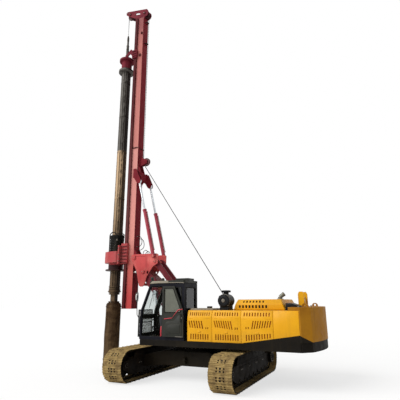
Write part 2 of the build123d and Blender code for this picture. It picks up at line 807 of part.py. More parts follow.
def car_body():
    """Return the centre frame with its four legs and the slewing ring seat."""
    inner = TRACK_CENTRE - CHEEK_OUT
    body = block(-BODY_HALF_X, BODY_HALF_X, -BODY_HALF_Y, BODY_HALF_Y, BODY_BOTTOM, BODY_TOP)
    leg = [(inner, FRAME_TOP - LEG_DROP), (inner, FRAME_TOP + LEG_RISE), (BODY_HALF_X, BODY_TOP - LEG_SLOPE)]
    leg += [(-x, z) for x, z in reversed(leg)]
    leg += [(-BODY_HALF_X, BODY_BOTTOM - RUN_GAP), (BODY_HALF_X, BODY_BOTTOM - RUN_GAP)]
    for y in (-LEG_Y, LEG_Y):
        body += prism_y(leg, y - LEG_HALF, y + LEG_HALF)
    body += rod_z(0, 0, RING_FOOT_RADIUS, BODY_TOP - BITE, RING_FOOT)
    ring = rod_z(0, 0, RING_RADIUS, RING_FOOT - BITE, RING_TOP)
    body += ring - rod_z(0, 0, RING_BORE + PIN_PLAY, RING_FOOT - 2 * BITE, RING_TOP + BITE)
    body -= rod_z(0, 0, RING_BORE + PIN_PLAY, SPIGOT_BOTTOM - RUN_GAP, RING_TOP + BITE)
    for side in (1, -1):
        lug = [(side * (TOW_EYE_Y + out), TOW_EYE_Z + up) for out, up in TOW_LUG]
        body += prism_x(lug, -TOW_EYE_HALF, TOW_EYE_HALF)
        body -= rod_x(side * TOW_EYE_Y, TOW_EYE_Z, TOW_EYE_BORE, -TOW_EYE_HALF - BITE, TOW_EYE_HALF + BITE)
    return body


def main_frame():
    """Return the deck with its skirts, girders, turntable and slewing spigot."""
    half = HALF_WIDTH - DECK_INSET
    under = DECK_TOP - DECK_PLATE
    frame = block(DECK_REAR, DECK_FRONT, -half, half, under, DECK_TOP)
    frame += block(DECK_FRONT - FRONT_BEAM, DECK_FRONT, -half, half, DECK_BOTTOM, DECK_TOP)
    frame += block(-TURNTABLE_HALF, TURNTABLE_HALF, -TURNTABLE_HALF, TURNTABLE_HALF, DECK_BOTTOM,
                   under + BITE)
    spigot = rod_z(0, 0, RING_BORE, SPIGOT_BOTTOM, DECK_BOTTOM + 2 * RUN_GAP)
    frame += spigot - rod_z(0, 0, RING_BORE - SPIGOT_WALL, SPIGOT_BOTTOM - BITE, DECK_BOTTOM + 3 * RUN_GAP)
    skirt = [(TAIL_REAR, DECK_BOTTOM), (DECK_FRONT, DECK_BOTTOM), (DECK_FRONT, DECK_TOP),
             (RISE_START, DECK_TOP), (TAIL_REAR, RISE_TOP)]
    for side in (1, -1):
        frame += prism_y(skirt, side * (HALF_WIDTH - SKIRT_THICK), side * HALF_WIDTH)
        frame += block(DECK_REAR, DECK_FRONT, side * GIRDER_IN, side * (GIRDER_IN + GIRDER_THICK),
                       DECK_BOTTOM,
                       under + BITE)
    return frame


def boom_foot():
    """Return the boom's foot plates and the luffing cylinders' ears, with their pins."""
    foot = [(FOOT_REAR, DECK_TOP), *around(FOOT_PLATE), (FOOT_FRONT, DECK_TOP)]
    ear = [(LUFF_BASE[0] - LUFF_LUG_HALF, DECK_TOP), *around(LUFF_LUG),
           (LUFF_BASE[0] + LUFF_LUG_HALF, DECK_TOP)]
    plates = both(lambda side: prism_y(foot, side * FOOT_IN, side * FOOT_OUT))
    for pin, radius in ((BOOM_FOOT, PIN_RADIUS), (LINK_FOOT, LINK_PIN)):
        plates += rod_y(pin, radius, -FOOT_OUT - PIN_END, FOOT_OUT + PIN_END)
    pieces = [plates]
    near = LUFF_Y - LUFF_EAR_GAP
    far = LUFF_Y + LUFF_EAR_GAP
    for side in (1, -1):
        pair = prism_y(ear, side * (near - LUFF_EAR), side * near) + prism_y(ear, side * far,
                                                                             side * (far + LUFF_EAR))
        pieces.append(pair + rod_y(LUFF_BASE, LUFF_PIN, side * (near - LUFF_EAR), side * (far + LUFF_EAR)))
    return pieces


def door_panel(side, x0, x1):
    """Return one creased side panel between two stations."""
    inner = HALF_WIDTH - PANEL_THICK
    points = [(side * HALF_WIDTH, PANEL_BOTTOM), (side * HALF_WIDTH, CREASE_Z),
              (side * (HALF_WIDTH - PANEL_LEAN), PANEL_TOP),
              (side * (HALF_WIDTH - PANEL_LEAN - PANEL_THICK), PANEL_TOP),
              (side * inner, CREASE_Z - CREASE_INSET), (side * inner, PANEL_BOTTOM)]
    panel = prism_x(points, x0, x1)
    rise = [(RISE_START, PANEL_BOTTOM - RUN_GAP), (RISE_START, PANEL_BOTTOM), (TAIL_REAR, RISE_TOP),
            (TAIL_REAR, PANEL_BOTTOM - RUN_GAP)]
    return panel - prism_y(rise, side * (inner - RUN_GAP), side * (HALF_WIDTH + RUN_GAP))


def side_panels(side):
    """Return the row of panels along one side."""
    rears = [front + PANEL_GAP for front in PANEL_FRONTS[1:]] + [TAIL_REAR + PANEL_GAP / 2]
    return [door_panel(side, front, rear) for front, rear in zip(PANEL_FRONTS, rears)]


def bay_frame():
    """Return the bulkheads and inner walls behind the side panels."""
    inside = HALF_WIDTH - PANEL_THICK
    walls = block(BAY_REAR - BULKHEAD, BAY_REAR, -COVER_HALF, COVER_HALF, DECK_TOP, COVER_BOTTOM)
    walls += block(DECK_REAR, DECK_REAR + BULKHEAD, -COVER_HALF, COVER_HALF, DECK_TOP, COVER_BOTTOM)
    for side in (1, -1):
        bulkhead = [(side * SLOT_HALF, DECK_TOP), (side * inside, DECK_TOP),
                    (side * inside, CREASE_Z - RUN_GAP),
                    (side * (COVER_HALF - BITE), COVER_BOTTOM), (side * SLOT_HALF, COVER_BOTTOM)]
        walls += prism_x(bulkhead, BAY_FRONT - BULKHEAD, BAY_FRONT)
        walls += block(BAY_REAR, BAY_FRONT, side * SLOT_HALF, side * (SLOT_HALF + BULKHEAD), DECK_TOP,
                       COVER_BOTTOM)
    return walls


def bay_covers():
    """Return the top plates over the service and engine bays, with the box behind the hood."""
    covers = block(DECK_REAR, BAY_REAR, -COVER_HALF, COVER_HALF, COVER_BOTTOM, PANEL_TOP)
    for side in (1, -1):
        covers += block(BAY_REAR, BAY_FRONT, side * SLOT_HALF, side * COVER_HALF, COVER_BOTTOM, PANEL_TOP)
    well_half = HOOD_HALF - HOOD_LEDGE
    covers -= block(HOOD_REAR + HOOD_LEDGE, BAY_REAR - HOOD_LEDGE, -well_half, well_half,
                    COVER_BOTTOM - RUN_GAP,
                    PANEL_TOP + RUN_GAP)
    return covers + block(DECK_REAR + RUN_GAP, HOOD_REAR - TAIL_BOX_INSET, TAIL_BOX_IN,
                          HOOD_HALF - TAIL_BOX_INSET,
                          PANEL_TOP - BITE, PANEL_TOP + TAIL_BOX_RISE)


def hood():
    """Return the raised engine hood with sloped ends, hollow and open below."""
    def shell(inset):
        half = HOOD_HALF - inset
        top = HOOD_TOP - inset
        shoulder = HOOD_TOP - HOOD_CHAMFER_Z
        section = [(half, PANEL_TOP - inset), (half, shoulder), (half - HOOD_CHAMFER_Y, top)]
        section += [(-y, z) for y, z in reversed(section)]
        flank = [(HOOD_FRONT - inset, PANEL_TOP - inset), (HOOD_FRONT - HOOD_FRONT_SLOPE - inset, HOOD_TOP),
                 (HOOD_REAR + HOOD_REAR_SLOPE + inset, HOOD_TOP), (HOOD_REAR + inset, PANEL_TOP - inset)]
        return prism_x(section, HOOD_REAR, HOOD_FRONT) & prism_y(flank, -HOOD_HALF, HOOD_HALF)
    return shell(0) - shell(HOOD_WALL)


def counterweight_plan(inset):
    """Return the counterweight's plan outline with a bowed rear, drawn in by an inset."""
    side_y = HALF_WIDTH - inset
    corner = (TAIL_REAR - WEIGHT_CORNER_X + inset, HALF_WIDTH - WEIGHT_CORNER_Y - inset)
    flank = [corner, (TAIL_REAR - WEIGHT_SHOULDER, side_y), (TAIL_REAR, side_y), (TAIL_REAR, COVER_HALF),
             (DECK_REAR, COVER_HALF)]
    edges = Polyline(*flank, *[(x, -y) for x, y in reversed(flank)])
    rear = ThreePointArc((corner[0], -corner[1]), (TAIL_REAR - WEIGHT_BULGE + inset, 0), corner)
    return make_face([edges, rear])


def counterweight():
    """Return the upper cast counterweight with two lifting eyes."""
    body = Pos(0, 0, WEIGHT_SPLIT) * extrude(counterweight_plan(0), WEIGHT_TOP - WEIGHT_SPLIT)
    eye = (TAIL_REAR - EYE_SETBACK, WEIGHT_TOP + EYE_RISE)
    lug = [(eye[0] + ahead, WEIGHT_TOP + up) for ahead, up in EYE_LUG]
    for side in (1, -1):
        body += prism_y(lug, side * (EYE_Y - EYE_HALF), side * (EYE_Y + EYE_HALF))
        body -= rod_y(eye, EYE_BORE, side * (EYE_Y - EYE_HALF - BITE), side * (EYE_Y + EYE_HALF + BITE))
    return body


def counterweight_base():
    """Return the lower counterweight slab."""
    return Pos(0, 0, DECK_BOTTOM) * extrude(counterweight_plan(WEIGHT_BASE_INSET), WEIGHT_SPLIT - DECK_BOTTOM)


def mast_rest():
    """Return the saddle that carries the folded mast."""
    x = DECK_REAR - REST_SETBACK
    rest = block(x - REST_HALF, x + REST_HALF, -REST_IN, REST_IN, WEIGHT_TOP, WEIGHT_TOP + REST_BASE)
    rest += block(x - REST_SADDLE_HALF, x + REST_SADDLE_HALF, -REST_IN, REST_IN, WEIGHT_TOP + REST_BASE,
                  REST_SEAT)
    horn = [(x + REST_HALF, WEIGHT_TOP), (x + REST_HALF, REST_SEAT + REST_SHOULDER),
            (x + REST_SADDLE_HALF, REST_SEAT + REST_HORN)]
    horn += [(2 * x - ahead, z) for ahead, z in reversed(horn)]
    return rest + both(lambda side: prism_y(horn, side * REST_IN, side * REST_OUT))


def winch_frame():
    """Return the winch side plates with the drum motor."""
    plate = [(WINCH[0] - WINCH_FOOT, DECK_TOP),
             *[(WINCH[0] + ahead, WINCH[1] + up) for ahead, up in WINCH_CROWN],
             (WINCH[0] + WINCH_FOOT, DECK_TOP)]
    frame = block(WINCH[0] - WINCH_FOOT, FOOT_REAR - RUN_GAP, -WINCH_OUT, WINCH_OUT, DECK_TOP,
                  DECK_TOP + WINCH_FLOOR)
    frame += both(lambda side: prism_y(plate, side * WINCH_IN, side * WINCH_OUT))
    frame -= rod_y(WINCH, DRUM_SHAFT + SHAFT_PLAY, -WINCH_OUT - RUN_GAP, WINCH_OUT + RUN_GAP)
    motor = rod_y(WINCH, MOTOR_RADIUS, -WINCH_OUT - MOTOR_DEPTH, -WINCH_OUT)
    motor -= rod_y(WINCH, DRUM_SHAFT + RUN_GAP, -WINCH_OUT - 2 * RUN_GAP, -WINCH_OUT + RUN_GAP)
    foot = block(WINCH[0] - MOTOR_FOOT_HALF, WINCH[0] + MOTOR_FOOT_HALF,
                 -WINCH_OUT - MOTOR_DEPTH + 4 * RUN_GAP,
                 -WINCH_OUT + BITE, DECK_TOP, WINCH[1] - MOTOR_FOOT_DROP)
    return frame + motor + foot


def winch_drum():
    """Return the flanged rope drum on its shaft."""
    drum = rod_y(WINCH, DRUM_RADIUS, -DRUM_HALF - BITE, DRUM_HALF + BITE)
    drum += rod_y(WINCH, DRUM_SHAFT, -WINCH_OUT - SHAFT_PLAY, WINCH_OUT + SHAFT_PLAY)
    flange = DRUM_HALF + DRUM_FLANGE_THICK
    return drum + both(lambda side: rod_y(WINCH, DRUM_FLANGE, side * DRUM_HALF, side * flange))


def hinge_heights():
    """Return the heights of the two wall knuckles of the door's hinges."""
    return (CAB_FLOOR_TOP + 2 * HINGE_HEIGHT, CAB_EAVES - 4 * HINGE_HEIGHT)


def cab_left_wall():
    """Return the cab's left wall with its door opening, rear light and hinge knuckles."""
    near = CAB_LEFT - CAB_WALL
    wall = prism_y(CAB_SIDE, near, CAB_LEFT, CAB_CORNER)
    wall -= prism_y(DOOR_OPENING, near - RUN_GAP, CAB_LEFT + RUN_GAP, DOORWAY_CORNER)
    wall -= prism_y(REAR_SIDE_LIGHT, near - RUN_GAP, CAB_LEFT + RUN_GAP, LIGHT_CORNER)
    for z in hinge_heights():
        wall += block(HINGE_X - HINGE_RADIUS, HINGE_X + HINGE_RADIUS, CAB_LEFT - BITE, HINGE_Y, z,
                      z + HINGE_HEIGHT)
        wall += rod_z(HINGE_X, HINGE_Y, HINGE_RADIUS, z, z + HINGE_HEIGHT)
    return wall


def cab_right_wall():
    """Return the cab's right wall with its window."""
    wall = prism_y(CAB_SIDE, CAB_RIGHT, CAB_RIGHT + CAB_WALL, CAB_CORNER)
    return wall - prism_y(RIGHT_LIGHT, CAB_RIGHT - RUN_GAP, CAB_RIGHT + CAB_WALL + RUN_GAP, LIGHT_CORNER)


def front_light(low, high):
    """Return the cutter of one front light."""
    right = CAB_RIGHT + FRONT_STILE
    left = CAB_LEFT - FRONT_STILE
    points = [(right, low), (right, high), (left, high), (left, low)]
    return prism_x(points, BROW_X - 3 * CAB_WALL, CAB_FRONT + CAB_WALL, FRONT_LIGHT_CORNER)


def front_strip(outer, inner):
    """Return the raked front's section between two depths behind its face."""
    def line(depth):
        return [(BROW_X - 1.15 * depth, CAB_EAVES), (KNEE[0] - depth, KNEE[1] - 0.26 * depth),
                (CAB_FRONT - depth, SILL_Z - 0.1 * depth), (CAB_FRONT - depth, CAB_FLOOR_TOP)]
    return line(outer) + line(inner)[::-1]


def cab_front():
    """Return the raked front frame with its upper and lower lights."""
    frame = prism_y(front_strip(0, CAB_WALL), CAB_RIGHT + CAB_WALL, CAB_LEFT - CAB_WALL)
    for low, high in FRONT_LIGHTS:
        frame -= front_light(low, high)
    return frame


def cab_rear():
    """Return the cab's rear wall with its window."""
    wall = block(CAB_REAR, CAB_REAR + CAB_WALL, CAB_RIGHT + CAB_WALL, CAB_LEFT - CAB_WALL, CAB_FLOOR_TOP,
                 CAB_EAVES)
    return wall - prism_x(BACK_LIGHT, CAB_REAR - RUN_GAP, CAB_REAR + CAB_WALL + RUN_GAP, LIGHT_CORNER)


def cab_roof():
    """Return the roof slab with its rounded rim and the low hatch board on it."""
    def slab(x0, x1, y0, y1, z0, z1, radius):
        return prism_z([(x0, y0), (x0, y1), (x1, y1), (x1, y0)], z0, z1, radius)
    roof = slab(CAB_REAR - ROOF_REAR, BROW_X + ROOF_BROW, CAB_RIGHT - ROOF_SIDE, CAB_LEFT + ROOF_SIDE,
                CAB_EAVES,
                CAB_ROOF, ROOF_CORNER)
    return roof + slab(CAB_REAR + HATCH_SETBACK, HATCH_FRONT, CAB_RIGHT + HATCH_IN, CAB_LEFT - HATCH_OUT,
                       CAB_ROOF - BITE, HATCH_TOP, HATCH_CORNER)


def cab_glass():
    """Return the fixed window panes."""
    left = CAB_LEFT - PANE_INSET
    right = CAB_RIGHT + PANE_INSET
    rear = CAB_REAR + PANE_INSET
    panes = [prism_y(REAR_SIDE_LIGHT, left - PANE, left, LIGHT_CORNER),
             prism_y(RIGHT_LIGHT, right, right + PANE, LIGHT_CORNER),
             prism_x(BACK_LIGHT, rear, rear + PANE, LIGHT_CORNER)]
    sheet = prism_y(front_strip(PANE_INSET, PANE_INSET + PANE), CAB_RIGHT + CAB_WALL, CAB_LEFT - CAB_WALL)
    return panes + [sheet & front_light(low, high) for low, high in FRONT_LIGHTS]


def cab_guard():
    """Return the barred guard over the lower front."""
    back = CAB_FRONT + GUARD_SETBACK
    face = back + GUARD_THICK
    right = CAB_RIGHT + GUARD_INSET
    left = CAB_LEFT - GUARD_INSET
    guard = block(back, face, right, right + GUARD_STILE, CAB_FLOOR_TOP, GUARD_TOP)
    guard += block(back, face, left - GUARD_STILE, left, CAB_FLOOR_TOP, GUARD_TOP)
    for z in (CAB_FLOOR_TOP, (CAB_FLOOR_TOP + GUARD_TOP) / 2, GUARD_TOP - GUARD_THICK):
        guard += block(back, face, right, left, z, z + GUARD_THICK)
    pitch = (left - right - 2 * GUARD_STILE) / (GUARD_BARS + 1)
    for index in range(GUARD_BARS):
        y = right + GUARD_STILE + pitch * (index + 1)
        guard += rod_z((back + face) / 2, y, GUARD_BAR, CAB_FLOOR_TOP + BITE, GUARD_TOP - BITE)
    for y in (right, left - GUARD_THICK):
        for z in (CAB_FLOOR_TOP + GUARD_STILE, SILL_Z - 3 * GUARD_STILE):
            guard += block(CAB_FRONT, back + BITE, y + BITE, y + GUARD_THICK - BITE, z, z + GUARD_STILE)
    return guard


def opened(points):
    """Return a door outline as it lies with the door swung right back."""
    return [(2 * HINGE_X - x, z) for x, z in points]


def cab_door():
    """Return the door leaf, swung right back against the cab's side."""
    near = 2 * HINGE_Y - CAB_LEFT
    far = near + CAB_WALL
    leaf = prism_y(opened(DOOR_LEAF), near, far, DOOR_CORNER)
    leaf -= prism_y(opened(DOOR_LIGHT), near - RUN_GAP, far + RUN_GAP, LIGHT_CORNER)
    edge = 2 * HINGE_X - DOOR_REAR - DOOR_GAP
    strap = HINGE_Y + HINGE_SIDE_GAP
    for wall_knuckle in hinge_heights():
        low = wall_knuckle + HINGE_HEIGHT + SEAT_GAP
        high = low + 0.8 * HINGE_HEIGHT
        leaf += block(edge - HINGE_PAD, HINGE_X, strap, strap + HINGE_STRAP, low, high)
        leaf += block(edge - HINGE_PAD, edge - BITE, strap, near + BITE, low, high)
        leaf += rod_z(HINGE_X, HINGE_Y, HINGE_RADIUS, low, high)
    pull = 2 * HINGE_X - DOOR_FRONT + DOOR_GAP + PULL_INSET
    leaf += rod_z(pull, far + PULL_REACH, PULL_RADIUS, PULL_LOW, PULL_HIGH)
    for z in (PULL_LOW + RUN_GAP, PULL_HIGH - 3 * RUN_GAP):
        leaf += block(pull - PULL_BRACKET, pull + PULL_BRACKET, far - BITE, far + PULL_REACH, z,
                      z + 2 * RUN_GAP)
    return leaf


def door_glass():
    """Return the door's pane."""
    near = 2 * HINGE_Y - CAB_LEFT + PANE_INSET
    return prism_y(opened(DOOR_LIGHT), near, near + PANE, LIGHT_CORNER)


def seat():
    """Return the operator's seat on its pedestal."""
    rear = SEAT_X - SEAT_PAD_HALF
    pad_right = CAB_MIDDLE - SEAT_PAD_HALF
    pad_left = CAB_MIDDLE + SEAT_PAD_HALF
    foot = SEAT_PAD_TOP - SEAT_BACK_FOOT
    shoulder = SEAT_BACK_TOP - SEAT_BACK_SHOULDER
    body = block(SEAT_X - SEAT_BASE_HALF_X, SEAT_X + SEAT_BASE_HALF_X, CAB_MIDDLE - SEAT_HALF,
                 CAB_MIDDLE + SEAT_HALF,
                 CAB_FLOOR_TOP, SEAT_BASE_TOP)
    body += block(rear - SEAT_PAD_REAR, SEAT_X + SEAT_PAD_HALF + SEAT_PAD_FRONT, pad_right, pad_left,
                  SEAT_BASE_TOP,
                  SEAT_PAD_TOP)
    back = [(rear + SEAT_BACK_REAR_FOOT, foot), (rear + SEAT_BACK_FRONT_FOOT, foot),
            (rear + SEAT_BACK_FRONT, shoulder),
            (rear + SEAT_BACK_CREST, SEAT_BACK_TOP), (rear + SEAT_BACK_REAR_CREST, SEAT_BACK_TOP),
            (rear + SEAT_BACK_REAR, shoulder)]
    return body + prism_y(back, pad_right + RUN_GAP, pad_left - RUN_GAP, SEAT_BACK_CORNER)


def consoles():
    """Return the two lever consoles beside the seat."""
    nose = CONSOLE_TOP - CONSOLE_NOSE_FALL
    side = [(CONSOLE_REAR, CAB_FLOOR_TOP), (CONSOLE_REAR, CONSOLE_TOP - CONSOLE_REAR_FALL),
            (CONSOLE_FRONT - CONSOLE_NOSE, CONSOLE_TOP), (CONSOLE_FRONT, nose),
            (CONSOLE_FRONT - CONSOLE_TOE, CAB_FLOOR_TOP)]
    pieces = []
    for low in (CAB_RIGHT + CONSOLE_INSET, CAB_LEFT - CONSOLE_INSET - CONSOLE_WIDTH):
        middle = low + CONSOLE_WIDTH / 2
        box = prism_y(side, low, low + CONSOLE_WIDTH, CONSOLE_CORNER)
        box += rod_z(LEVER_X, middle, LEVER_RADIUS, nose, LEVER_TOP - BITE)
        box += rod_z(LEVER_X, middle, KNOB_RADIUS, LEVER_TOP - KNOB_HEIGHT, LEVER_TOP)
        pieces.append(box)
    return pieces


def mirror():
    """Return the left mirror on its bent arm."""
    y = CAB_LEFT - MIRROR_INSET
    foot = CAB_FRONT + MIRROR_ARM + MIRROR_ARM_GAP
    elbow = CAB_FRONT + MIRROR_REACH
    tip = elbow + MIRROR_LEAN
    arm = rod((foot, y, MIRROR_FOOT_Z), (elbow, y, MIRROR_ELBOW_Z), MIRROR_ARM)
    arm += rod((elbow, y, MIRROR_ELBOW_Z), (tip, y, MIRROR_TOP - MIRROR_WIDTH), MIRROR_ARM)
    arm += block(CAB_FRONT, CAB_FRONT + MIRROR_PAD, y - MIRROR_PAD_HALF, y + MIRROR_PAD_HALF,
                 MIRROR_FOOT_Z - MIRROR_PAD_LOW, MIRROR_FOOT_Z + MIRROR_PAD_HIGH)
    inner = y - RUN_GAP - MIRROR_WIDTH
    face = [(inner, MIRROR_BOTTOM), (inner, MIRROR_TOP), (y - RUN_GAP, MIRROR_TOP),
            (y - RUN_GAP, MIRROR_BOTTOM)]
    head = prism_x(face, tip - RUN_GAP, tip - RUN_GAP + MIRROR_DEPTH, MIRROR_CORNER)
    clamp_z = (MIRROR_BOTTOM + MIRROR_TOP) / 2
    return arm + head + block(tip - CLAMP_DEPTH, tip, y - CLAMP_DEPTH, y + RUN_GAP, clamp_z - CLAMP_HALF,
                              clamp_z + CLAMP_HALF)


def boom():
    """Return the hollow lower boom with an eye at either end."""
    length = hypot(BOOM_HEAD[0] - BOOM_FOOT[0], BOOM_HEAD[1] - BOOM_FOOT[1])
    across = ((BOOM_FOOT[1] - BOOM_HEAD[1]) / length, (BOOM_HEAD[0] - BOOM_FOOT[0]) / length)

    def girder(wall):
        points = []
        for share, rise in BOOM_EDGE:
            x, z = along(BOOM_FOOT, BOOM_HEAD, share * length)
            size = rise - wall * (1 if rise > 0 else -1)
            points.append((x + across[0] * size, z + across[1] * size))
        return prism_y(points, -BOOM_HALF + wall, BOOM_HALF - wall)
    beam = girder(0)
    well = girder(BOOM_WALL)
    for at in (BOOM_FOOT, BOOM_HEAD):
        beam += rod_y(at, BOOM_EYE, -BOOM_HALF, BOOM_HALF)
        well -= rod_y(at, BOOM_EYE + BOOM_WALL, -BOOM_HALF, BOOM_HALF)
    beam -= well
    for side in (1, -1):
        beam += rod_y(LUFF_EYE, LUFF_BOSS, side * (BOOM_HALF - BITE), side * (BOOM_HALF + LUFF_BOSS_DEPTH))
    for at in (BOOM_FOOT, BOOM_HEAD):
        beam -= rod_y(at, PIN_RADIUS + PIN_PLAY, -BOOM_HALF - RUN_GAP, BOOM_HALF + RUN_GAP)
    return beam


def bar_between(start, end, half, y0, y1, eye, bore):
    """Return a flat bar with bored round ends."""
    length = hypot(end[0] - start[0], end[1] - start[1])
    across = (-(end[1] - start[1]) / length * half, (end[0] - start[0]) / length * half)
    points = [(start[0] + across[0], start[1] + across[1]), (end[0] + across[0], end[1] + across[1]),
              (end[0] - across[0], end[1] - across[1]), (start[0] - across[0], start[1] - across[1])]
    bar = prism_y(points, y0, y1)
    for at in (start, end):
        bar += rod_y(at, eye, y0, y1)
    for at in (start, end):
        bar -= rod_y(at, bore, min(y0, y1) - RUN_GAP, max(y0, y1) + RUN_GAP)
    return bar


def boom_links():
    """Return the pair of parallel link bars above the boom."""
    bore = LINK_PIN + PIN_PLAY
    return [bar_between(LINK_FOOT, LINK_HEAD, LINK_HALF, side * LINK_IN, side * LINK_OUT, LINK_EYE, bore)
            for side in (1, -1)]


def barrels(base, eye, side_y, radius, bore, length, pin):
    """Return a pair of cylinder barrels, each with a bored base eye."""
    pieces = []
    for side in (1, -1):
        y = side * side_y
        start = along(base, eye, radius * 0.4)
        end = along(base, eye, length)
        deep = along(base, eye, radius * 1.6)
        barrel = rod((start[0], y, start[1]), (end[0], y, end[1]), radius)
        neck = along(base, eye, length - radius)
        barrel += rod((neck[0], y, neck[1]), (end[0], y, end[1]), radius + BITE)
        barrel += rod_y(base, radius * 1.05, y - 0.6 * radius, y + 0.6 * radius)
        far = along(base, eye, length + RUN_GAP)
        barrel -= rod((deep[0], y, deep[1]), (far[0], y, far[1]), bore)
        barrel -= rod_y(base, pin + PIN_PLAY, y - radius, y + radius)
        pieces.append(barrel)
    return pieces


def rods(base, eye, side_y, radius, start, eye_radius, eye_half):
    """Return a pair of piston rods, each with a pinned eye."""
    pieces = []
    for side in (1, -1):
        y = side * side_y
        low = along(base, eye, start)
        piece = rod((low[0], y, low[1]), (eye[0], y, eye[1]), radius)
        pieces.append(piece + rod_y(eye, eye_radius, y - eye_half, y + eye_half))
    return pieces


def cradle():
    """Return the mast cradle: two triangular plates, cross members and pins."""
    plate = around(CRADLE_PLATE)
    slot = around(CRADLE_SLOT)

    def sheet(side):
        flat = prism_y(plate, side * CRADLE_IN, side * CRADLE_OUT)
        flat -= prism_y(slot, side * (CRADLE_IN - RUN_GAP), side * (CRADLE_OUT + RUN_GAP), CRADLE_SLOT_CORNER)
        return flat + rod_y(TILT_BASE, TILT_PIN, side * CRADLE_IN, side * (TILT_Y + TILT_PIN_END))
    end = CRADLE_OUT + PIN_END
    frame = both(sheet) + rod_y(PIVOT, PIVOT_PIN, -end, end)
    frame += rod_y(BOOM_HEAD, PIN_RADIUS, -end, end)
    frame += rod_y(LINK_HEAD, LINK_PIN, -end, end)
    frame += rod_y(CRADLE_TOE, CRADLE_TOE_RADIUS, -CRADLE_IN - BITE, CRADLE_IN + BITE)
    return frame + block(PIVOT[0] - CRADLE_BEAM_REAR, PIVOT[0] - CRADLE_BEAM_FRONT, -CRADLE_IN - BITE,
                         CRADLE_IN + BITE,
                         PIVOT[1] - CRADLE_BEAM, PIVOT[1])


def mast_tube(z0, z1):
    """Return one closed section of the mast's box."""
    tube = block(MAST_BACK, MAST_FRONT, -MAST_HALF, MAST_HALF, z0, z1)
    return tube - block(MAST_BACK + MAST_WALL, MAST_FRONT - MAST_WALL, -MAST_HALF + MAST_WALL,
                        MAST_HALF - MAST_WALL,
                        z0 + MAST_CAP, z1 - MAST_CAP)


def mast_lower():
    """Return the lower mast with its pivot lugs, cylinder bracket and rope sheave bracket."""
    skin = MAST_BACK + BITE
    bracket = MAST_BACK - BRACKET_DEPTH
    eye_z = TILT_EYE[1]
    lug = [(skin, PIVOT[1] - MAST_LUG_LOW), *around(MAST_LUG), (skin, PIVOT[1] + MAST_LUG_HIGH)]
    gusset_top = eye_z + BRACKET_HIGH + GUSSET_TOP
    gusset = [(skin, gusset_top), (MAST_BACK - GUSSET_TIP, gusset_top - GUSSET_TIP_FALL),
              (bracket, eye_z + BRACKET_HIGH + GUSSET_LAP), (bracket, eye_z + BRACKET_LOW - GUSSET_LAP),
              (skin, eye_z - GUSSET_FOOT)]
    ear = [(MAST_BACK, eye_z + TILT_EAR_TOP), (bracket, eye_z + TILT_EAR_TOP), *around(TILT_EAR),
           (MAST_BACK, eye_z + TILT_EAR_FOOT)]
    arm = [(skin, BACK_SHEAVE[1] + SHEAVE_ARM_TOP), *around(SHEAVE_ARM),
           (skin, BACK_SHEAVE[1] - SHEAVE_ARM_FOOT)]
    far = TILT_Y + EAR_FAR
    mast = mast_tube(MAST_BOTTOM, MAST_SPLICE)
    mast += block(bracket, skin, -far, far, eye_z + BRACKET_LOW, eye_z + BRACKET_HIGH)
    for side in (1, -1):
        mast += prism_y(lug, side * MAST_LUG_IN, side * MAST_LUG_OUT)
        mast += prism_y(gusset, side * GUSSET_IN, side * GUSSET_OUT)
        mast += prism_y(ear, side * (TILT_Y - EAR_FAR), side * (TILT_Y - EAR_NEAR))
        mast += prism_y(ear, side * (TILT_Y + EAR_NEAR), side * far)
        mast += prism_y(arm, side * SHEAVE_ARM_IN, side * SHEAVE_ARM_OUT)
    pin_end = SHEAVE_ARM_OUT + SHEAVE_PIN_END
    mast += rod_y(BACK_SHEAVE, BACK_SHEAVE_BORE - PIN_PLAY, -pin_end, pin_end)
    return mast - rod_y(PIVOT, PIVOT_PIN + PIN_PLAY, -MAST_LUG_OUT - RUN_GAP, MAST_LUG_OUT + RUN_GAP)


def mast_rails():
    """Return the two guide rails on the mast's front."""
    return [block(MAST_FRONT, RAIL_FRONT, side * RAIL_IN, side * RAIL_OUT, MAST_BOTTOM,
                  MAST_TOP) for side in (1, -1)]


def crowd_barrel():
    """Return the feed cylinder's barrel on the mast's front with its two saddles."""
    top = CROWD_BOTTOM + CROWD_LENGTH
    barrel = rod_z(CROWD_X, 0, CROWD_RADIUS, CROWD_BOTTOM, top)
    barrel -= rod_z(CROWD_X, 0, CROWD_ROD_RADIUS + PIN_PLAY, CROWD_BOTTOM - RUN_GAP, top - CROWD_END)
    for z in (CROWD_BOTTOM + CROWD_SADDLE_INSET, top - CROWD_SADDLE - CROWD_SADDLE_INSET):
        barrel += block(MAST_FRONT, CROWD_X - 0.75 * CROWD_RADIUS, -CROWD_END, CROWD_END, z, z + CROWD_SADDLE)
    return barrel


